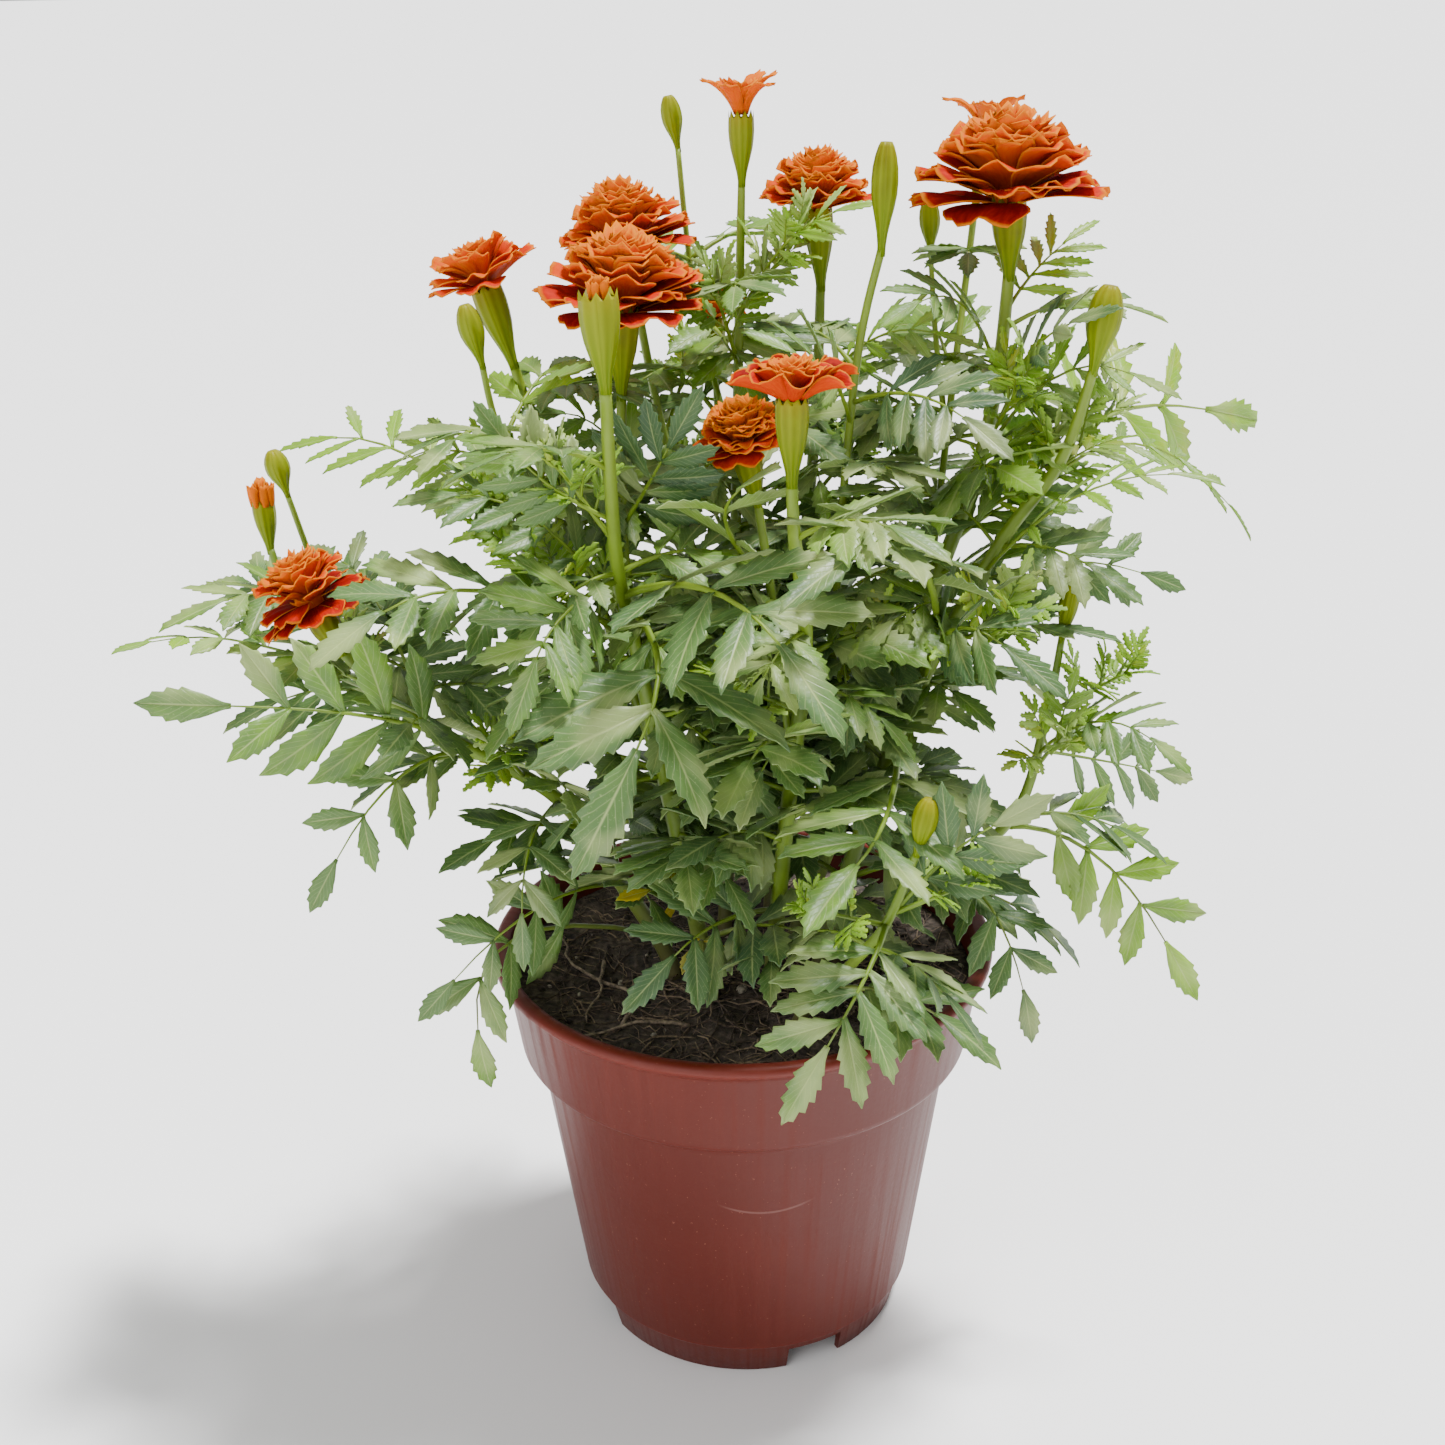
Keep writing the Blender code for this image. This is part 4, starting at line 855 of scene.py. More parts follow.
class MARIGOLD_OT_pot(bpy.types.Operator):
    """Turn the moulded pot, with its rolled lip, band and notched foot"""

    bl_idname = "marigold.pot"
    bl_label = "Pot"

    def execute(self, context):
        settings = context.scene.marigold_pot
        rim_r = settings.rim_radius / MM
        inside = [(6.0, FLOOR_TOP), (FOOT_R - WALL - 3, FLOOR_TOP), (FOOT_R - WALL - 1, FLOOR_TOP + 1.2),
                  (NECK_R - WALL, NECK_Z + STEP_LIFT), (BAND_R - WALL, BAND_Z + STEP_LIFT),
                  (BAND_TOP_R - WALL, LIP_Z - 2 * WALL), (RIM_INNER_R, RIM_Z - 1.8)]
        lip = [(RIM_INNER_R + 0.5, RIM_Z - 0.7), (RIM_INNER_R + 1.7, RIM_Z), (rim_r - 1.7, RIM_Z),
               (rim_r - 0.5, RIM_Z - 0.6), (rim_r, RIM_Z - 1.7), (rim_r - 0.1, RIM_Z - 2.6),
               (LIP_R + 0.5, LIP_Z + 0.6), (LIP_R, LIP_Z), (LIP_R - 0.7, LIP_Z - 0.6),
               (BAND_TOP_R + 0.4, LIP_Z - 1.2), (BAND_TOP_R, LIP_Z - 2.2)]
        outside = [(BAND_R + 0.25, BAND_Z + 2.4), (BAND_R, BAND_Z + 1.0), (BAND_R - 0.5, BAND_Z + 0.1),
                   (BAND_R - 1.4, BAND_Z - 0.6), (STEP_R, STEP_Z), (NECK_R + 0.8, NECK_Z + 0.2),
                   (NECK_R + 0.1, NECK_Z - 0.8), (NECK_R - 0.2, NECK_Z - 2.6), (FOOT_R + 0.35, FOOT_Z + 2.6),
                   (FOOT_R, FOOT_Z), (FOOT_R - 1.0, FOOT_Z - 0.8), (FOOT_R - 1.6, FOOT_Z - 2.0),
                   (BASE_R + 0.3, 0.5), (BASE_R - 0.3, 0.0)]
        under = [(BASE_R - FOOT_WALL, 0.0), (BASE_R - FOOT_WALL + 1.6, FLOOR_UNDER), (6.0, FLOOR_UNDER)]
        pot = lathe("pot_moulded", inside + lip + outside + under, settings.sides)
        cutters = []
        for k in range(NOTCHES):
            deselect()
            bpy.ops.mesh.primitive_cube_add(size=1.0)
            cut = context.object
            cut.data.transform(Matrix.Diagonal((NOTCH_DEEP * MM, NOTCH_WIDTH * MM, 2 * NOTCH_HEIGHT * MM, 1)))
            angle = math.radians(NOTCH_FIRST_DEG + 360 * k / NOTCHES)
            cut.data.transform(Matrix.Rotation(angle, 4, "Z") @ Matrix.Translation((BASE_R * MM, 0, 0)))
            cutters.append(cut)
        for k in range(DRAINS):
            deselect()
            angle = math.tau * k / DRAINS
            bpy.ops.mesh.primitive_cylinder_add(vertices=32, radius=DRAIN_R * MM, depth=8 * MM)
            cut = context.object
            cut.data.transform(Matrix.Translation((DRAIN_RING_R * MM * math.cos(angle),
                                                   DRAIN_RING_R * MM * math.sin(angle),
                                                   (FLOOR_TOP + FLOOR_UNDER) / 2 * MM)))
            cutters.append(cut)
        cutter = join("pot_cutter", cutters)
        apply_modifier(pot, "BOOLEAN", operation="DIFFERENCE", object=cutter, solver="EXACT")
        bpy.data.objects.remove(cutter)
        pick([pot])
        bpy.ops.object.shade_smooth_by_angle(angle=math.radians(40))
        pot.data.materials.clear()
        pot.data.materials.append(plastic(settings))
        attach(pot, "root")
        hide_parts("pot")
        return {"FINISHED"}


def lay_tubes(name, runs, material, resolution=1, ribs=None):
    """Tapered tubes along these runs of (points, radii), as one curve turned into a mesh with welded caps."""
    data = bpy.data.curves.new(name, "CURVE")
    data.dimensions = "3D"
    data.use_fill_caps = True
    if ribs is None:
        data.bevel_depth = MM
        data.bevel_resolution = resolution
    else:
        data.bevel_mode = "OBJECT"
        data.bevel_object = ribs
    for points, radii in runs:
        spline = data.splines.new("POLY")
        spline.points.add(len(points) - 1)
        for point, place, radius in zip(spline.points, points, radii):
            point.co = (*(Vector(place) * MM), 1.0)
            point.radius = radius
    made = bpy.data.objects.new(name, data)
    bpy.context.scene.collection.objects.link(made)
    pick([made])
    bpy.ops.object.convert(target="MESH")
    made = bpy.context.object
    bpy.ops.object.mode_set(mode="EDIT")
    bpy.ops.mesh.select_all(action="SELECT")
    bpy.ops.mesh.remove_doubles(threshold=1e-6)
    bpy.ops.mesh.normals_make_consistent(inside=False)
    bpy.ops.object.mode_set(mode="OBJECT")
    made.data.shade_smooth()
    made.data.materials.clear()
    made.data.materials.append(material)
    return made


def rib_profile():
    """The cross section of a ribbed shoot, 1 mm in radius: a circle with every other point drawn in."""
    data = bpy.data.curves.new("rib_profile", "CURVE")
    spline = data.splines.new("POLY")
    spline.points.add(SHOOT_SIDES - 1)
    for k, point in enumerate(spline.points):
        angle = math.tau * k / SHOOT_SIDES
        radius = MM * (RIDGE if k % 2 else GROOVE)
        point.co = (radius * math.cos(angle), radius * math.sin(angle), 0, 1)
    spline.use_cyclic_u = True
    made = bpy.data.objects.new("rib_profile", data)
    bpy.context.scene.collection.objects.link(made)
    return made


def soil_height(x, y):
    """The soil's top above its level, in millimetres."""
    here = Vector((x, y, 0)) * 0.055
    low = noise.noise(here) * 2.0 + noise.noise(here * 3.1) * 1.1
    fine = noise.noise(Vector((x, y, 7)) * 0.42) * 0.8
    return low + fine


class MARIGOLD_OT_soil(bpy.types.Operator):
    """Fill the pot with crumbly soil, with dry fibres, crumbs and roots on its top"""

    bl_idname = "marigold.soil"
    bl_label = "Soil"

    def execute(self, context):
        settings = context.scene.marigold_soil
        draw = random.Random(7)
        top_r = BAND_TOP_R - WALL - SOIL_EDGE
        rings = 34
        top = [(max(1.5, top_r * k / rings), SOIL_Z) for k in range(rings + 1)]
        ledge = STEP_LIFT + 0.5
        below = [(BAND_R - WALL - 0.5, BAND_Z + ledge), (NECK_R - WALL - 0.5, NECK_Z + ledge),
                 (FOOT_R - WALL - 2, FLOOR_TOP + 1)]
        soil = lathe("soil_bed", top + below, 132)
        for vert in soil.data.vertices:
            x, y, z = vert.co / MM
            if z > SOIL_Z - 0.1:
                edge = min(1.0, max(0.0, (top_r - math.hypot(x, y)) / 6.0))
                vert.co.z += settings.bump / 2.2 * soil_height(x, y) * edge
        soil.data.shade_smooth()
        soil.data.materials.clear()
        soil.data.materials.append(earth(settings))
        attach(soil, "root")
        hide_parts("soil")

        def spot(reach):
            while True:
                x, y = draw.uniform(-reach, reach), draw.uniform(-reach, reach)
                if math.hypot(x, y) < reach:
                    return x, y

        kinds = (("straw", 0.45, (0.260, 0.190, 0.125)), ("peat", 0.55, (0.110, 0.078, 0.055)))
        for label, share, colour in kinds:
            runs = []
            for _ in range(int(settings.fibres * share)):
                x, y = spot(top_r - 7)
                heading = draw.uniform(0, math.tau)
                reach = draw.uniform(6, 24)
                points = []
                for k in range(5):
                    points.append((x, y, SOIL_Z + soil_height(x, y) + draw.uniform(0.1, 1.8)))
                    heading += draw.uniform(-0.55, 0.55)
                    step = reach / 4
                    if math.hypot(x + math.cos(heading) * step, y + math.sin(heading) * step) > top_r - 2:
                        heading += math.pi / 2
                    x += math.cos(heading) * step
                    y += math.sin(heading) * step
                    if math.hypot(x, y) > top_r - 1.5:
                        x, y = x * 0.95, y * 0.95
                radius = draw.uniform(0.12, 0.42)
                runs.append((points, [radius * 0.6, radius, radius, radius * 0.9, radius * 0.4]))
            fibres = lay_tubes("soil_" + label, runs, crumb(label + " fibre", colour), resolution=0)
            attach(fibres, "root")

        roots = []
        for x, y, heading, reach in ROOTS:
            points = []
            for k in range(9):
                lift = 1.4 + 1.6 * math.sin(math.pi * k / 8)
                points.append((x, y, SOIL_Z + soil_height(x, y) + lift))
                heading += draw.uniform(-0.45, 0.45)
                x += math.cos(heading) * reach / 8
                y += math.sin(heading) * reach / 8
                if math.hypot(x, y) > top_r - 3:
                    heading += 1.4
                    x, y = x * 0.94, y * 0.94
            roots.append((points, [0.75 - 0.06 * k for k in range(9)]))
        roots = lay_tubes("soil_roots", roots, crumb("pale root", (0.300, 0.230, 0.165)), resolution=1)
        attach(roots, "root")

        deselect()
        bpy.ops.mesh.primitive_ico_sphere_add(subdivisions=1, radius=1.0)
        lump_item = context.object
        apply_modifier(lump_item, "BEVEL", width=0.22, segments=1, limit_method="NONE")
        lump = Form(lump_item)
        growth = Growth()
        for k in range(settings.crumbs):
            x, y = spot(top_r - 3)
            size = draw.uniform(0.5, 1.5) if k % 9 else draw.uniform(1.4, 2.6)
            spin = Matrix.Rotation(draw.uniform(0, math.tau), 3, "Z")
            shape = spin @ Matrix.Rotation(draw.uniform(0, 1.5), 3, "X")
            long, wide = draw.uniform(0.8, 1.7), draw.uniform(0.6, 1.0)
            stretch = Matrix.Diagonal((size * long, size * wide, size * 0.7))
            place = np.array((x, y, SOIL_Z + soil_height(x, y) + 0.3))
            points = lump.points @ np.array(shape @ stretch).T + place
            slot = 0 if k % 5 else (1 if k % 2 else 2)
            growth.add(points, lump.faces, lump.uv, 0.0, slot)
        crumbs = growth.build("soil_crumbs", [crumb("dark crumb", (0.035, 0.024, 0.018)),
                                              crumb("bark crumb", (0.150, 0.090, 0.055)),
                                              crumb("pale crumb", (0.420, 0.370, 0.300))])
        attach(crumbs, "root")
        return {"FINISHED"}


def routes():
    """Every shoot by its name: its stem, its route, and its radii at the root and at the top."""
    out = {}
    for name, (route, low, high) in STEMS.items():
        out[name] = (name, route, low, high * SLIM_TOP)
    for name, (stem, route, low, high) in FORKS.items():
        out[name] = (stem, route, low * SLIM_TOP, high * SLIM_TOP)
    return out


ROUTES = routes()


def shoot_points(name, steps):
    """A shoot's smooth route: a Catmull-Rom curve through its points, straight inside its hole."""
    straight = name in STEMS
    pts = [Vector(p) for p in ROUTES[name][1]]
    out = [pts[0]] if straight else []
    for i in range(1 if straight else 0, len(pts) - 1):
        a, b = pts[i], pts[i + 1]
        before = 2 * a - b if i < 1 else pts[i - 1]
        after = pts[min(i + 2, len(pts) - 1)]
        for k in range(steps):
            t = k / steps
            out.append(0.5 * (2 * a + (b - before) * t + (2 * before - 5 * a + 4 * b - after) * t * t
                              + (3 * a - before - 3 * b + after) * t ** 3))
    out.append(pts[-1])
    return out


def on_shoot(name, place):
    """The point of a shoot's middle line nearest to a place, so a leaf's root is sunk into the stem."""
    points = shoot_points(name, 2 if name in STEMS else 1)
    best = points[0]
    for a, b in zip(points, points[1:]):
        share = intersect_point_line(place, a, b)[1]
        near = a + (b - a) * min(max(share, 0.0), 1.0)
        if (near - place).length < (best - place).length:
            best = near
    return best


def along_shoot(name, share):
    """The place and direction at a share of a shoot's whole length."""
    points = shoot_points(name, 6)
    lengths = [(b - a).length for a, b in zip(points, points[1:])]
    left = share * sum(lengths)
    for a, b, length in zip(points, points[1:], lengths):
        if left <= length:
            return a + (b - a) * (left / length), (b - a).normalized()
        left -= length
    return points[-1], (points[-1] - points[-2]).normalized()


def rib(root, middle, tip, t):
    """A point and a direction on the arched rib through a leaf's root, middle and tip."""
    control = 2 * middle - (root + tip) / 2
    place = (1 - t) ** 2 * root + 2 * t * (1 - t) * control + t * t * tip
    along = (2 * (1 - t) * (control - root) + 2 * t * (tip - control)).normalized()
    return place, along


def leaflet_form(name, halves, teeth, out, ahead, columns, cup):
    """A leaflet lying along X, one unit long: a grid whose rows are sized and whose edge points are drawn
    into teeth, in edit mode."""
    deselect()
    rows = len(halves) - 1
    bpy.ops.mesh.primitive_grid_add(x_subdivisions=rows, y_subdivisions=columns, size=1.0)
    item = bpy.context.object
    item.name = name
    start = [v.co.copy() for v in item.data.vertices]
    uv = [(co.x + 0.5, co.y * 2) for co in start]
    bpy.ops.object.mode_set(mode="EDIT")
    bpy.ops.mesh.select_all(action="SELECT")
    bpy.ops.transform.translate(value=(0.5, 0, 0))
    for row, half in enumerate(halves):
        level = row / rows
        pick_points(item, [i for i, (s, v) in enumerate(uv) if abs(s - level) < 1e-4])
        bpy.ops.transform.resize(value=(1, 2 * half, 1), center_override=(level, 0, 0))
        if row in teeth:
            pick_points(item, [i for i, (s, v) in enumerate(uv) if abs(s - level) < 1e-4 and abs(v) > 0.99])
            bpy.ops.transform.resize(value=(1, out, 1), center_override=(level, 0, 0))
            bpy.ops.transform.translate(value=(ahead, 0, 0))
    pick_points(item, [i for i, (s, v) in enumerate(uv) if abs(v) > 0.99 and 0.05 < s < 0.95])
    bpy.ops.transform.translate(value=(0, 0, cup))
    if columns > 2:
        pick_points(item, [i for i, (s, v) in enumerate(uv) if 0.4 < abs(v) < 0.6 and 0.05 < s < 0.95])
        bpy.ops.transform.translate(value=(0, 0, cup * 0.8))
    bpy.ops.object.mode_set(mode="OBJECT")
    return Form(item, uv)


def leaflet_forms():
    """The leaflets: toothed, smooth and narrow, each in a fine and a plain make, and young in one make."""
    grown = (0.032, 0.042, 0.062, 0.088, 0.112, 0.124, 0.134, 0.130, 0.126, 0.108, 0.092, 0.064, 0.040, 0.004)
    lobed = (0.028, 0.042, 0.072, 0.104, 0.132, 0.150, 0.158, 0.158, 0.150, 0.132, 0.108, 0.078, 0.044, 0.005)
    slim = (0.022, 0.028, 0.040, 0.056, 0.070, 0.076, 0.082, 0.078, 0.074, 0.064, 0.054, 0.040, 0.026, 0.004)
    small = (0.020, 0.060, 0.110, 0.130, 0.140, 0.110, 0.125, 0.070, 0.070, 0.006)
    forms = {}
    sharp = (3, 5, 7, 9, 11)
    for columns, mark in ((4, "_fine"), (2, "")):
        forms["toothed" + mark] = leaflet_form("toothed", grown, sharp, 1.42, 0.050, columns, 0.030)
        forms["smooth" + mark] = leaflet_form("smooth", lobed, (6, 8, 10), 1.22, 0.042, columns, 0.024)
        forms["narrow" + mark] = leaflet_form("narrow", slim, sharp, 1.55, 0.052, columns, 0.024)
    forms["young"] = leaflet_form("young", small, (2, 4, 6, 8), 1.4, 0.05, 2, 0.03)
    return forms


def place_form(growth, form, base, along, up, size, droop, tone, twist):
    """A copy of a form from its base along a direction, drooping and twisting towards its tip."""
    side = up.cross(along).normalized()
    up = along.cross(side).normalized()
    s = form.uv[:, 0]
    across = form.points[:, 1] * size
    turn = twist * s
    y = across * np.cos(turn)
    z = form.points[:, 2] * size - droop * size * s ** 1.8 + across * np.sin(turn)
    x = form.points[:, 0] * size * (1 - 0.25 * droop * s)
    points = np.outer(x, along) + np.outer(y, side) + np.outer(z, up) + np.array(base)
    growth.add(points, form.faces, form.uv, tone)


FIRST_PAIR_SHARE = 0.22
SWELL = 0.80
LEAFLET_MORE = 1.42
END_LEAFLET_MORE = 1.30


def add_leaf(growth, stalks, forms, style, root, middle, tip, pairs, leaflet, face, tone, draw):
    """One compound leaf: a stalk along its rib, and leaflets in pairs with one at the end."""
    face = Vector(face)
    length = sum((rib(root, middle, tip, (k + 1) / 8)[0] - rib(root, middle, tip, k / 8)[0]).length
                 for k in range(8))
    last = max(0.5, min(0.90, 1 - leaflet * 1.08 / length))
    thick = max(0.42, min(1.15, leaflet * 0.045))
    stalks.append(([rib(root, middle, tip, last * k / 8)[0] for k in range(9)],
                   [thick * (1.25 - 0.95 * k / 8) for k in range(9)]))
    form = forms[style]
    for k in range(pairs):
        t = FIRST_PAIR_SHARE + (last - 0.02 - FIRST_PAIR_SHARE) * (k + 0.15) / pairs
        place, along = rib(root, middle, tip, t)
        side = face.cross(along).normalized()
        up = along.cross(side).normalized()
        swell = SWELL + (1 - SWELL) * math.sin(math.pi * (k + 0.9) / (pairs + 0.5))
        for sign in (1, -1):
            angle = math.radians(60 - 20 * k / pairs + draw.uniform(-7, 7))
            out = along * math.cos(angle) + side * (sign * math.sin(angle))
            out = (out + up * draw.uniform(-0.10, 0.16)).normalized()
            lean = Matrix.Rotation(math.radians(draw.uniform(-18, 18)), 3, out) @ up
            place_form(growth, form, place + along * draw.uniform(-0.7, 0.7), out, lean,
                       LEAFLET_MORE * leaflet * swell * draw.uniform(0.9, 1.08), draw.uniform(0.04, 0.26),
                       tone + draw.uniform(-0.12, 0.12), draw.uniform(-0.4, 0.4))
    place, along = rib(root, middle, tip, last)
    side = face.cross(along).normalized()
    place_form(growth, form, place - along * 0.4, along, along.cross(side), END_LEAFLET_MORE * leaflet,
               draw.uniform(0.05, 0.2), tone + draw.uniform(-0.1, 0.1), draw.uniform(-0.25, 0.25))


def turned_leaf(shoot, root, middle, tip, turn):
    """A leaf's root on its shoot, and its middle and tip after a turn about Z."""
    root = on_shoot(shoot, Vector(root))
    spin = Matrix.Rotation(math.radians(turn), 3, "Z")
    return root, root + spin @ (Vector(middle) - root), root + spin @ (Vector(tip) - root)


def listed_leaves():
    """The leaves set one by one or by the solids' rule: shoot, root, middle, tip, pairs, leaflet, face,
    form and tone."""
    out = []
    for number, (shoot, root, middle, tip, *rest) in enumerate(LEAVES + MORE_LEAVES):
        out.append((shoot, *turned_leaf(shoot, root, middle, tip, LEAF_TURNS.get(number, 0)), *rest))
    number = 0
    for shoot, count, low, high, reach in FILLS:
        points = shoot_points(shoot, 2 if shoot in STEMS else 1)
        for k in range(count):
            share = low + (high - low) * k / max(count - 1, 1)
            root = points[round(share * (len(points) - 1))]
            angle = math.radians(GOLDEN_DEG * number)
            away = Vector((math.cos(angle), math.sin(angle), 0))
            size = reach * (1 - 0.25 * share)
            middle = root + away * (size / 2) + Vector((0, 0, 0.20 * size))
            tip = root + away * size + Vector((0, 0, 0.06 * size))
            turned = turned_leaf(shoot, root, middle, tip, FILL_TURNS.get(number, 0))
            out.append((shoot, *turned, 4, 0.36 * size, away * 0.3 + Vector((0, 0, 1)), "toothed",
                        0.25 + 0.4 * share))
            number += 1
    return out


# Leaf joints: how far up a shoot the first lies, and how much of the shoot's top stays bare
FIRST_STEM_JOINT = 34.0
FIRST_FORK_JOINT = 9.0
BARE_TOP = 50.0
BARE_TOP_SHARE = 0.30


def joint_leaves(name, settings, draw):
    """More leaves by rule: crossed pairs at the joints of a shoot, shorter towards the head. Each is given
    by its root, middle, tip, pairs, leaflet, face, form and tone."""
    points = shoot_points(name, 6)
    length = sum((b - a).length for a, b in zip(points, points[1:]))
    spacing = settings.joint / MM
    bare_top = min(BARE_TOP, BARE_TOP_SHARE * length)
    at = FIRST_STEM_JOINT if name in STEMS else FIRST_FORK_JOINT
    turn = draw.uniform(0, 180)
    while at < length - bare_top:
        share = at / length
        root, _ = along_shoot(name, share)
        for half_turn in (0, 180):
            angle = math.radians(turn + half_turn + draw.uniform(-20, 20))
            away = Vector((math.cos(angle), math.sin(angle), 0))
            size = (62 - 24 * share) * draw.uniform(0.80, 1.12)
            rise = draw.uniform(-0.55, 0.34)
            middle = root + away * (size * 0.52) + Vector((0, 0, (0.16 + rise / 2) * size))
            tip = root + away * size + Vector((0, 0, rise * size))
            tip.x = min(max(tip.x, CAD_LOW.x / MM + 2), CAD_HIGH.x / MM - 2)
            tip.y = min(max(tip.y, CAD_LOW.y / MM + 2), CAD_HIGH.y / MM - 2)
            if tip.z < RIM_Z + 8 and math.hypot(tip.x, tip.y) < RIM_R + 12:
                continue
            tone = 0.14 + 0.6 * (root.z - SOIL_Z) / 260 + draw.uniform(-0.14, 0.20)
            style = "toothed" if root.z > 200 else draw.choice(("toothed", "smooth"))
            outward = away * draw.uniform(0.1, 0.8)
            face = outward + Vector((draw.uniform(-0.5, 0.5), draw.uniform(-0.6, 0.2), 1))
            yield (root, middle, tip, 3, size * 0.36, face, style, tone)
        turn += 90
        at += spacing * draw.uniform(0.85, 1.15)


SPRIG_MORE = 1.28


def add_sprig(growth, stalks, forms, root, heading, reach, draw):
    """A feathery young shoot: a short axis with small bright leaves crowded up it."""
    heading = Vector(heading).normalized()
    reach *= SPRIG_MORE
    end = root + heading * reach
    stalks.append(([root + (end - root) * (k / 4) for k in range(5)], [0.9, 0.8, 0.7, 0.55, 0.4]))
    for k in range(7):
        share = 0.35 + 0.65 * k / 6
        angle = math.radians(GOLDEN_DEG * k + draw.uniform(-15, 15))
        side = heading.orthogonal().normalized()
        away = (side * math.cos(angle) + heading.cross(side) * math.sin(angle)).normalized()
        spread = 0.95 - 0.65 * share
        out = (away * spread + heading * (1 - spread) + Vector((0, 0, 0.35))).normalized()
        base = root + (end - root) * share
        size = reach * (0.75 - 0.25 * share) * draw.uniform(0.85, 1.15)
        middle = base + out * (size * 0.5) + Vector((0, 0, 0.06 * size))
        tip = base + out * size + away * (0.1 * size)
        face = (heading + Vector((0, 0, 0.8))).normalized()
        add_leaf(growth, stalks, forms, "young", base, middle, tip, 4, size * 0.30, face,
                 0.95 + draw.uniform(-0.15, 0.1), draw)


def head_form(name, profile):
    """A calyx or bud one unit long and one unit in radius, turned from its profile."""
    narrowest = 0.004
    return Form(lathe(name, [(max(share, narrowest) / MM, s / MM) for s, share in profile], HEAD_SIDES))


def head_copy(growth, form, name, draw):
    """A calyx or bud at the end of its shoot, sized to its width and length, ribbed."""
    end, width, kind, brown = HEADS[name]
    end = Vector(end)
    top = Vector(ROUTES[name][1][-1])
    high = ROUTES[name][3]
    axis = (end - top).normalized()
    start = top - axis * 2.0
    length = (end - start).length
    turn = axis.to_track_quat("Z", "Y").to_matrix()
    radial = np.hypot(form.points[:, 0], form.points[:, 1])
    angle = np.arctan2(form.points[:, 1], form.points[:, 0])
    s = form.points[:, 2]
    radius = np.where(radial > 1e-6, high * 0.97 + (width / 2 - high * 0.97) * radial, 0.0)
    ribs = 1 + 0.035 * np.cos(2 * HEAD_RIBS * angle) * np.clip(4 * s * (1.1 - s), 0, 1)
    flare = 0.0
    if kind == "flower":
        flare = np.where(s > 0.97, 1.3 * np.cos(HEAD_SIDES / 2 * angle), 0.0)
    radius = radius * ribs
    points = np.column_stack((radius * np.cos(angle), radius * np.sin(angle), s * length + flare))
    points = points @ np.array(turn).T + np.array(start)
    uv = np.column_stack((s, np.abs(angle) / math.pi))
    growth.add(points, form.faces, uv, brown + draw.uniform(-0.05, 0.05))


class MARIGOLD_OT_leafy_stems(bpy.types.Operator):
    """Grow the ribbed shoots, with their compound leaves, young sprigs, calyces and buds"""

    bl_idname = "marigold.leafy_stems"
    bl_label = "Leafy stems"

    def execute(self, context):
        settings = context.scene.marigold_leaf
        draw = random.Random(11)
        forms = leaflet_forms()
        calyx = head_form("calyx", CALYX_PROFILE)
        bud = head_form("bud", BUD_PROFILE)
        upper = blade_finish("leaf upper side", settings, under=False)
        lower = blade_finish("leaf under side", settings, under=True)
        stem = stem_finish(settings)
        husk = calyx_finish()
        profile = rib_profile()
        blades = {name: Growth() for name in STEMS}
        heads = {name: Growth() for name in STEMS}
        stalks = {name: [] for name in STEMS}
        shoots = {name: [] for name in STEMS}
        for name, (owner, _, low, high) in ROUTES.items():
            points = shoot_points(name, 7)
            count = len(points) - 1
            shoots[owner].append((points, [low + (high - low) * k / count for k in range(count + 1)]))
            head_copy(heads[owner], calyx if HEADS[name][2] == "flower" else bud, name, draw)
        for shoot, root, middle, tip, pairs, leaflet, face, style, tone in listed_leaves():
            owner = ROUTES[shoot][0]
            add_leaf(blades[owner], stalks[owner], forms, style + "_fine", root, middle, tip, pairs, leaflet,
                     face, tone, draw)
        for name in ROUTES:
            owner = ROUTES[name][0]
            for root, middle, tip, pairs, leaflet, face, style, tone in joint_leaves(name, settings, draw):
                add_leaf(blades[owner], stalks[owner], forms, style, root, middle, tip, pairs, leaflet, face,
                         tone, draw)
        for name, share, heading, reach in SPRIGS:
            owner = ROUTES[name][0]
            root, _ = along_shoot(name, share)
            add_sprig(blades[owner], stalks[owner], forms, root, heading, reach, draw)
        for name in STEMS:
            leaves = blades[name].build(name + "_leaves", [upper, lower])
            apply_modifier(leaves, "SOLIDIFY", thickness=settings.thickness, offset=0.0, material_offset=1)
            leaves.data.shade_smooth()
            husks = heads[name].build(name + "_heads", [husk])
            husks.data.shade_smooth()
            stalk = lay_tubes(name + "_stalks", stalks[name], stem)
            ribbed = lay_tubes(name + "_shoots", shoots[name], stem, ribs=profile)
            piece = join(name + "_leafy", [leaves, husks, stalk, ribbed])
            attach(piece, "root")
            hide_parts(name)
        bpy.data.objects.remove(profile)
        return {"FINISHED"}


def petal_form(name, rows, columns, wide, base, ruffle, lobes, curl, notch):
    """A petal lying along X, one unit long, narrow at its base and ruffled at its free edge."""
    deselect()
    bpy.ops.mesh.primitive_grid_add(x_subdivisions=rows, y_subdivisions=columns, size=1.0)
    item = bpy.context.object
    item.name = name
    uv = []
    for vert in item.data.vertices:
        s = vert.co.x + 0.5
        v = vert.co.y * 2
        uv.append((s, v))
        spread = base + (1 - base) * math.sin(math.pi / 2 * min(1.0, s * 1.2)) ** 1.3
        half = wide * spread * (1 - 0.22 * max(0.0, s - 0.8) / 0.2)
        x = s * (1 - 0.13 * v * v * s - notch * math.exp(-(v / 0.22) ** 2) * s ** 3
                 - 0.03 * math.sin(2.3 * lobes * math.pi * v + 0.6) * s)
        y = v * half
        wave = ruffle * s ** 2.0 * (math.sin(lobes * math.pi * v + 1.0) * 0.7 + abs(v) * math.cos(3.1 * v))
        vert.co = (x, y, wave + curl * y * y / wide)
    return Form(item, uv)


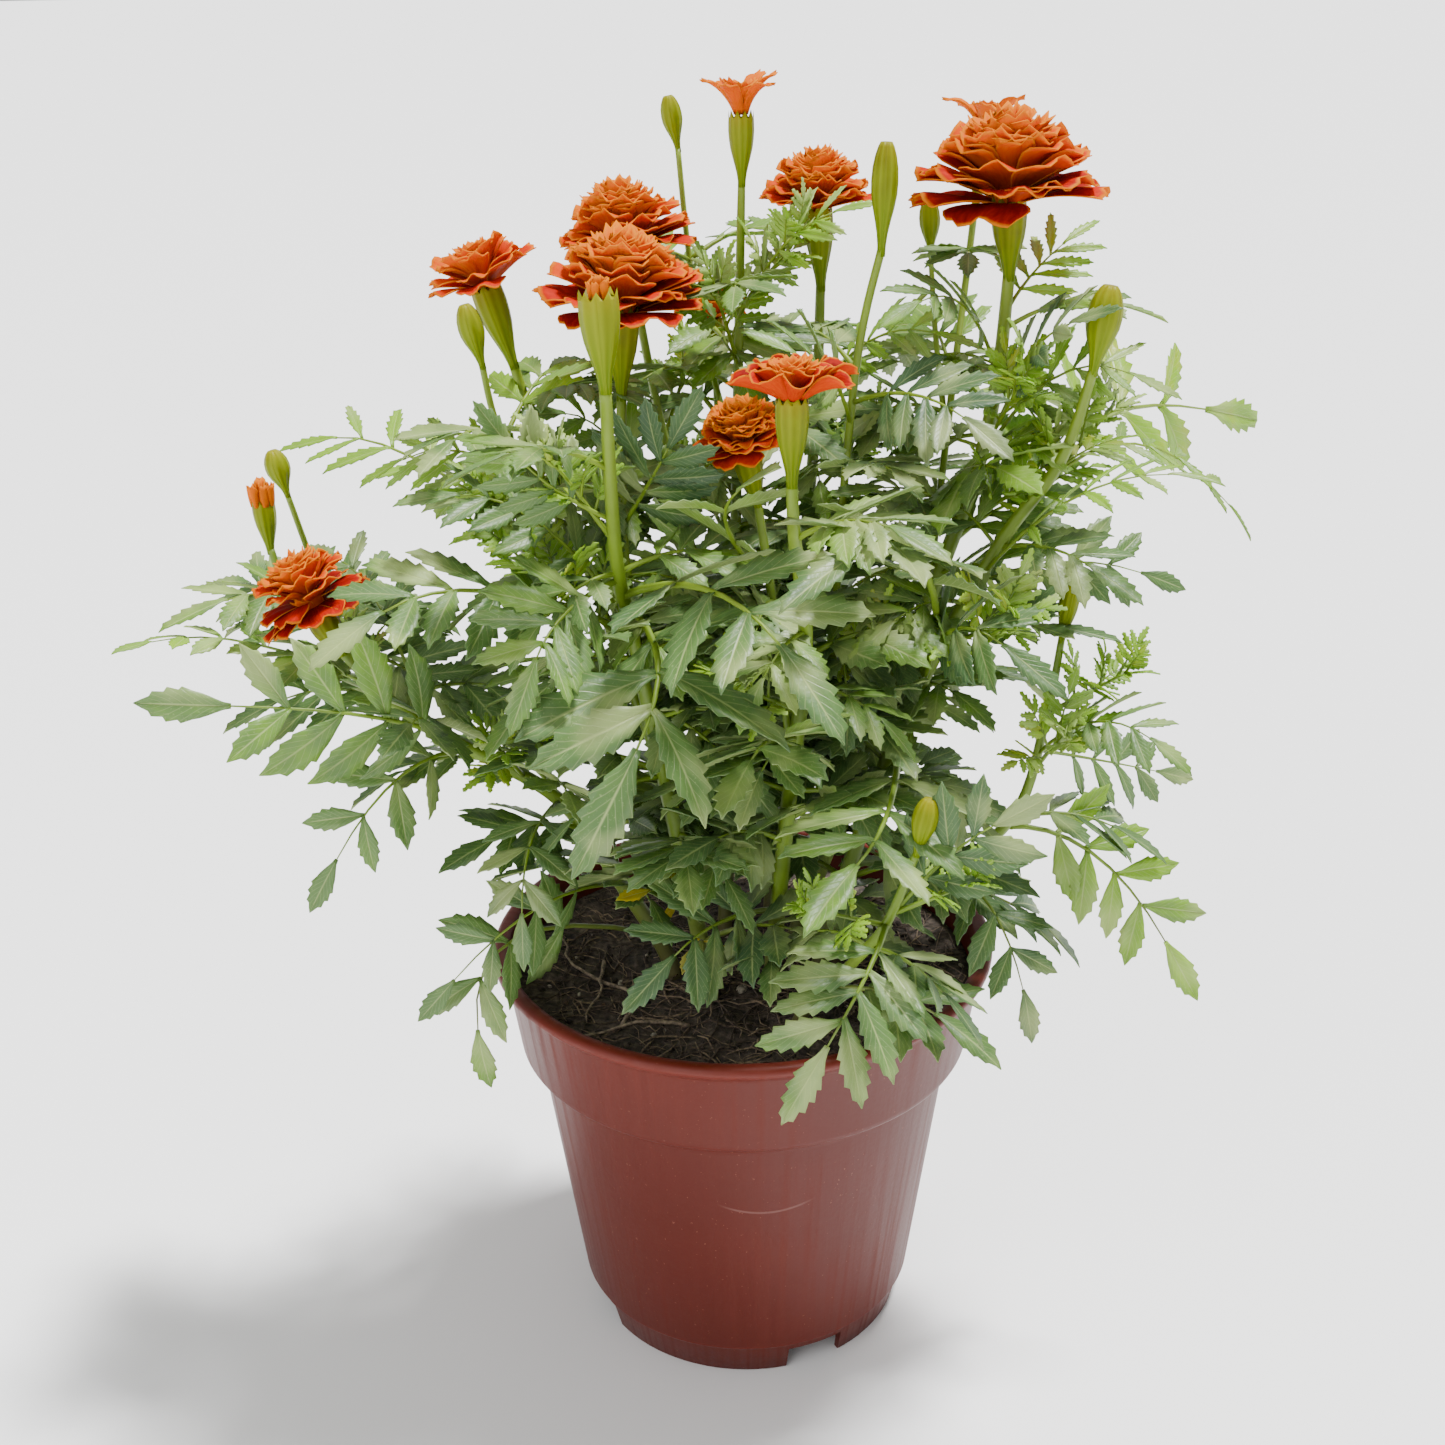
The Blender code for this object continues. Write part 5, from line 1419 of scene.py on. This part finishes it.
def petal_forms():
    return {
        "skirt": petal_form("skirt", 8, 10, 0.50, 0.22, 0.085, 1.9, 0.06, 0.06),
        "frill": petal_form("frill", 6, 8, 0.36, 0.26, 0.11, 1.6, 0.45, 0.08),
        "quill": petal_form("quill", 5, 4, 0.16, 0.45, 0.06, 1.0, 1.7, 0.10),
        "spoon": petal_form("spoon", 8, 8, 0.27, 0.42, 0.03, 1.2, 1.15, 0.07),
        "strap": petal_form("strap", 8, 6, 0.17, 0.55, 0.05, 1.3, 0.75, 0.08),
    }


def place_petal(growth, form, base, out, up, size, rise, bend, tone, wide):
    """A petal that leaves its base at a rise in degrees and bends by that much on its way out."""
    side = up.cross(out).normalized()
    steps = 20
    heading = np.radians(rise + bend * (np.arange(steps + 1) / steps) ** 1.2)
    middle = (heading[1:] + heading[:-1]) / 2
    run_table = np.concatenate(([0.0], np.cumsum(np.cos(middle)))) / steps
    high_table = np.concatenate(([0.0], np.cumsum(np.sin(middle)))) / steps
    s = np.clip(form.points[:, 0], 0, 1) * steps
    ticks = np.arange(steps + 1)
    turn = np.interp(s, ticks, heading)
    z = form.points[:, 2] * size
    run = np.interp(s, ticks, run_table) * size - z * np.sin(turn)
    high = np.interp(s, ticks, high_table) * size + z * np.cos(turn)
    across = form.points[:, 1] * size * wide
    points = np.outer(run, out) + np.outer(across, side) + np.outer(high, up) + np.array(base)
    growth.add(points, form.faces, form.uv, tone)


class MARIGOLD_OT_flowers(bpy.types.Operator):
    """Set the petals of the thirteen flowers in layers on their calyces"""

    bl_idname = "marigold.flowers"
    bl_label = "Flowers"

    def execute(self, context):
        settings = context.scene.marigold_flower
        draw = random.Random(5)
        forms = petal_forms()
        upper = petal_finish("petal inner side", settings, under=False)
        lower = petal_finish("petal outer side", settings, under=True)
        for node, (shoot, spread, kind) in FLOWERS.items():
            end = Vector(HEADS[shoot][0])
            axis = (end - Vector(ROUTES[shoot][1][-1])).normalized()
            first = axis.orthogonal().normalized()
            second = axis.cross(first)
            half = spread / 2
            growth = Growth()
            for form, count, ring, high, length, rise, bend, tone, wide in LAYERS[kind]:
                start = draw.uniform(0, math.tau)
                for k in range(count):
                    angle = start + math.tau * (k + draw.uniform(-0.25, 0.25)) / count
                    out = first * math.cos(angle) + second * math.sin(angle)
                    base = end + out * (ring * half) + axis * (high * half)
                    size = length * half * draw.uniform(0.88, 1.05)
                    place_petal(growth, forms[form], base, out, axis, size,
                                rise + draw.uniform(-10, 10), bend + draw.uniform(-16, 12),
                                tone + draw.uniform(-0.12, 0.12), wide * draw.uniform(0.88, 1.12))
            flower = growth.build(node + "_petals", [upper, lower])
            apply_modifier(flower, "SOLIDIFY", thickness=settings.thickness, offset=0.0, material_offset=1)
            flower.data.shade_smooth()
            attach(flower, "root")
            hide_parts(node)
        return {"FINISHED"}


class MARIGOLD_OT_stage(bpy.types.Operator):
    """Lay the plain pale floor and set the soft studio light and the camera"""

    bl_idname = "marigold.stage"
    bl_label = "Stage"

    def execute(self, context):
        settings = context.scene.marigold_stage
        scene = context.scene
        deselect()
        bpy.ops.mesh.primitive_plane_add(size=settings.floor)
        floor = context.object
        floor.name = "floor"
        paint = Finish("pale floor", (0.86, 0.86, 0.86), 0.9)
        floor.data.materials.append(paint.material)

        world = bpy.data.worlds.new("plain surroundings")
        world.use_nodes = True
        world.node_tree.nodes["Background"].inputs[0].default_value = (1.0, 1.0, 1.0, 1.0)
        world.node_tree.nodes["Background"].inputs[1].default_value = settings.sky
        scene.world = world
        key = bpy.data.lights.new("key_light", "SUN")
        key.angle = math.radians(KEY_SPREAD_DEG)
        key.energy = settings.key
        fill = bpy.data.lights.new("fill_light", "AREA")
        fill.size = FILL_SIZE
        fill.energy = settings.fill
        for light, place in ((key, Vector(KEY_AT)), (fill, Vector(FILL_AT))):
            item = bpy.data.objects.new(light.name, light)
            item.location = place
            item.rotation_euler = (Vector(LIGHTS_AIM) - place).to_track_quat("-Z", "Y").to_euler()
            scene.collection.objects.link(item)

        camera = bpy.data.cameras.new("camera")
        camera.sensor_width = SENSOR_MM
        camera.lens = FOCAL_PX / IMAGE_PX * SENSOR_MM
        camera.clip_start = 0.01
        item = bpy.data.objects.new("camera", camera)
        down = math.radians(CAMERA_DOWN_DEG)
        roll = math.radians(CAMERA_ROLL_DEG)
        right = Vector((1, 0, 0))
        up = Vector((0, math.sin(down), math.cos(down)))
        forward = Vector((0, math.cos(down), -math.sin(down)))
        x_axis = right * math.cos(roll) - up * math.sin(roll)
        y_axis = right * math.sin(roll) + up * math.cos(roll)
        turn = Matrix((x_axis, y_axis, -forward)).transposed().to_4x4()
        item.matrix_world = Matrix.Translation(CAMERA_AT) @ turn
        scene.collection.objects.link(item)
        scene.camera = item
        return {"FINISHED"}


class MARIGOLD_PT_panel(bpy.types.Panel):
    """The marigold's pieces, in the order in which they are made"""

    bl_idname = "MARIGOLD_PT_panel"
    bl_label = "Marigold"
    bl_space_type = "VIEW_3D"
    bl_region_type = "UI"
    bl_category = "Marigold"

    def draw(self, context):
        for operator, settings in STEPS:
            box = self.layout.box()
            box.operator(operator.bl_idname)
            group = getattr(context.scene, settings)
            for name in group.bl_rna.properties.keys():
                if name not in ("rna_type", "name"):
                    box.prop(group, name)


STEPS = [
    (MARIGOLD_OT_stage, "marigold_stage"),
    (MARIGOLD_OT_pot, "marigold_pot"),
    (MARIGOLD_OT_soil, "marigold_soil"),
    (MARIGOLD_OT_leafy_stems, "marigold_leaf"),
    (MARIGOLD_OT_flowers, "marigold_flower"),
]
GROUPS = {
    "marigold_stage": StageSettings,
    "marigold_pot": PotSettings,
    "marigold_soil": SoilSettings,
    "marigold_leaf": LeafSettings,
    "marigold_flower": FlowerSettings,
}


def register():
    for name, group in GROUPS.items():
        bpy.utils.register_class(group)
        setattr(bpy.types.Scene, name, PointerProperty(type=group))
    for operator, _ in STEPS:
        bpy.utils.register_class(operator)
    bpy.utils.register_class(MARIGOLD_PT_panel)


def unregister():
    bpy.utils.unregister_class(MARIGOLD_PT_panel)
    for operator, _ in reversed(STEPS):
        bpy.utils.unregister_class(operator)
    for name, group in GROUPS.items():
        delattr(bpy.types.Scene, name)
        bpy.utils.unregister_class(group)


def main():
    register()
    bpy.ops.marigold.stage()
    bpy.ops.marigold.pot()
    bpy.ops.marigold.soil()
    bpy.ops.marigold.leafy_stems()
    bpy.ops.marigold.flowers()


if __name__ == "__main__":
    main()
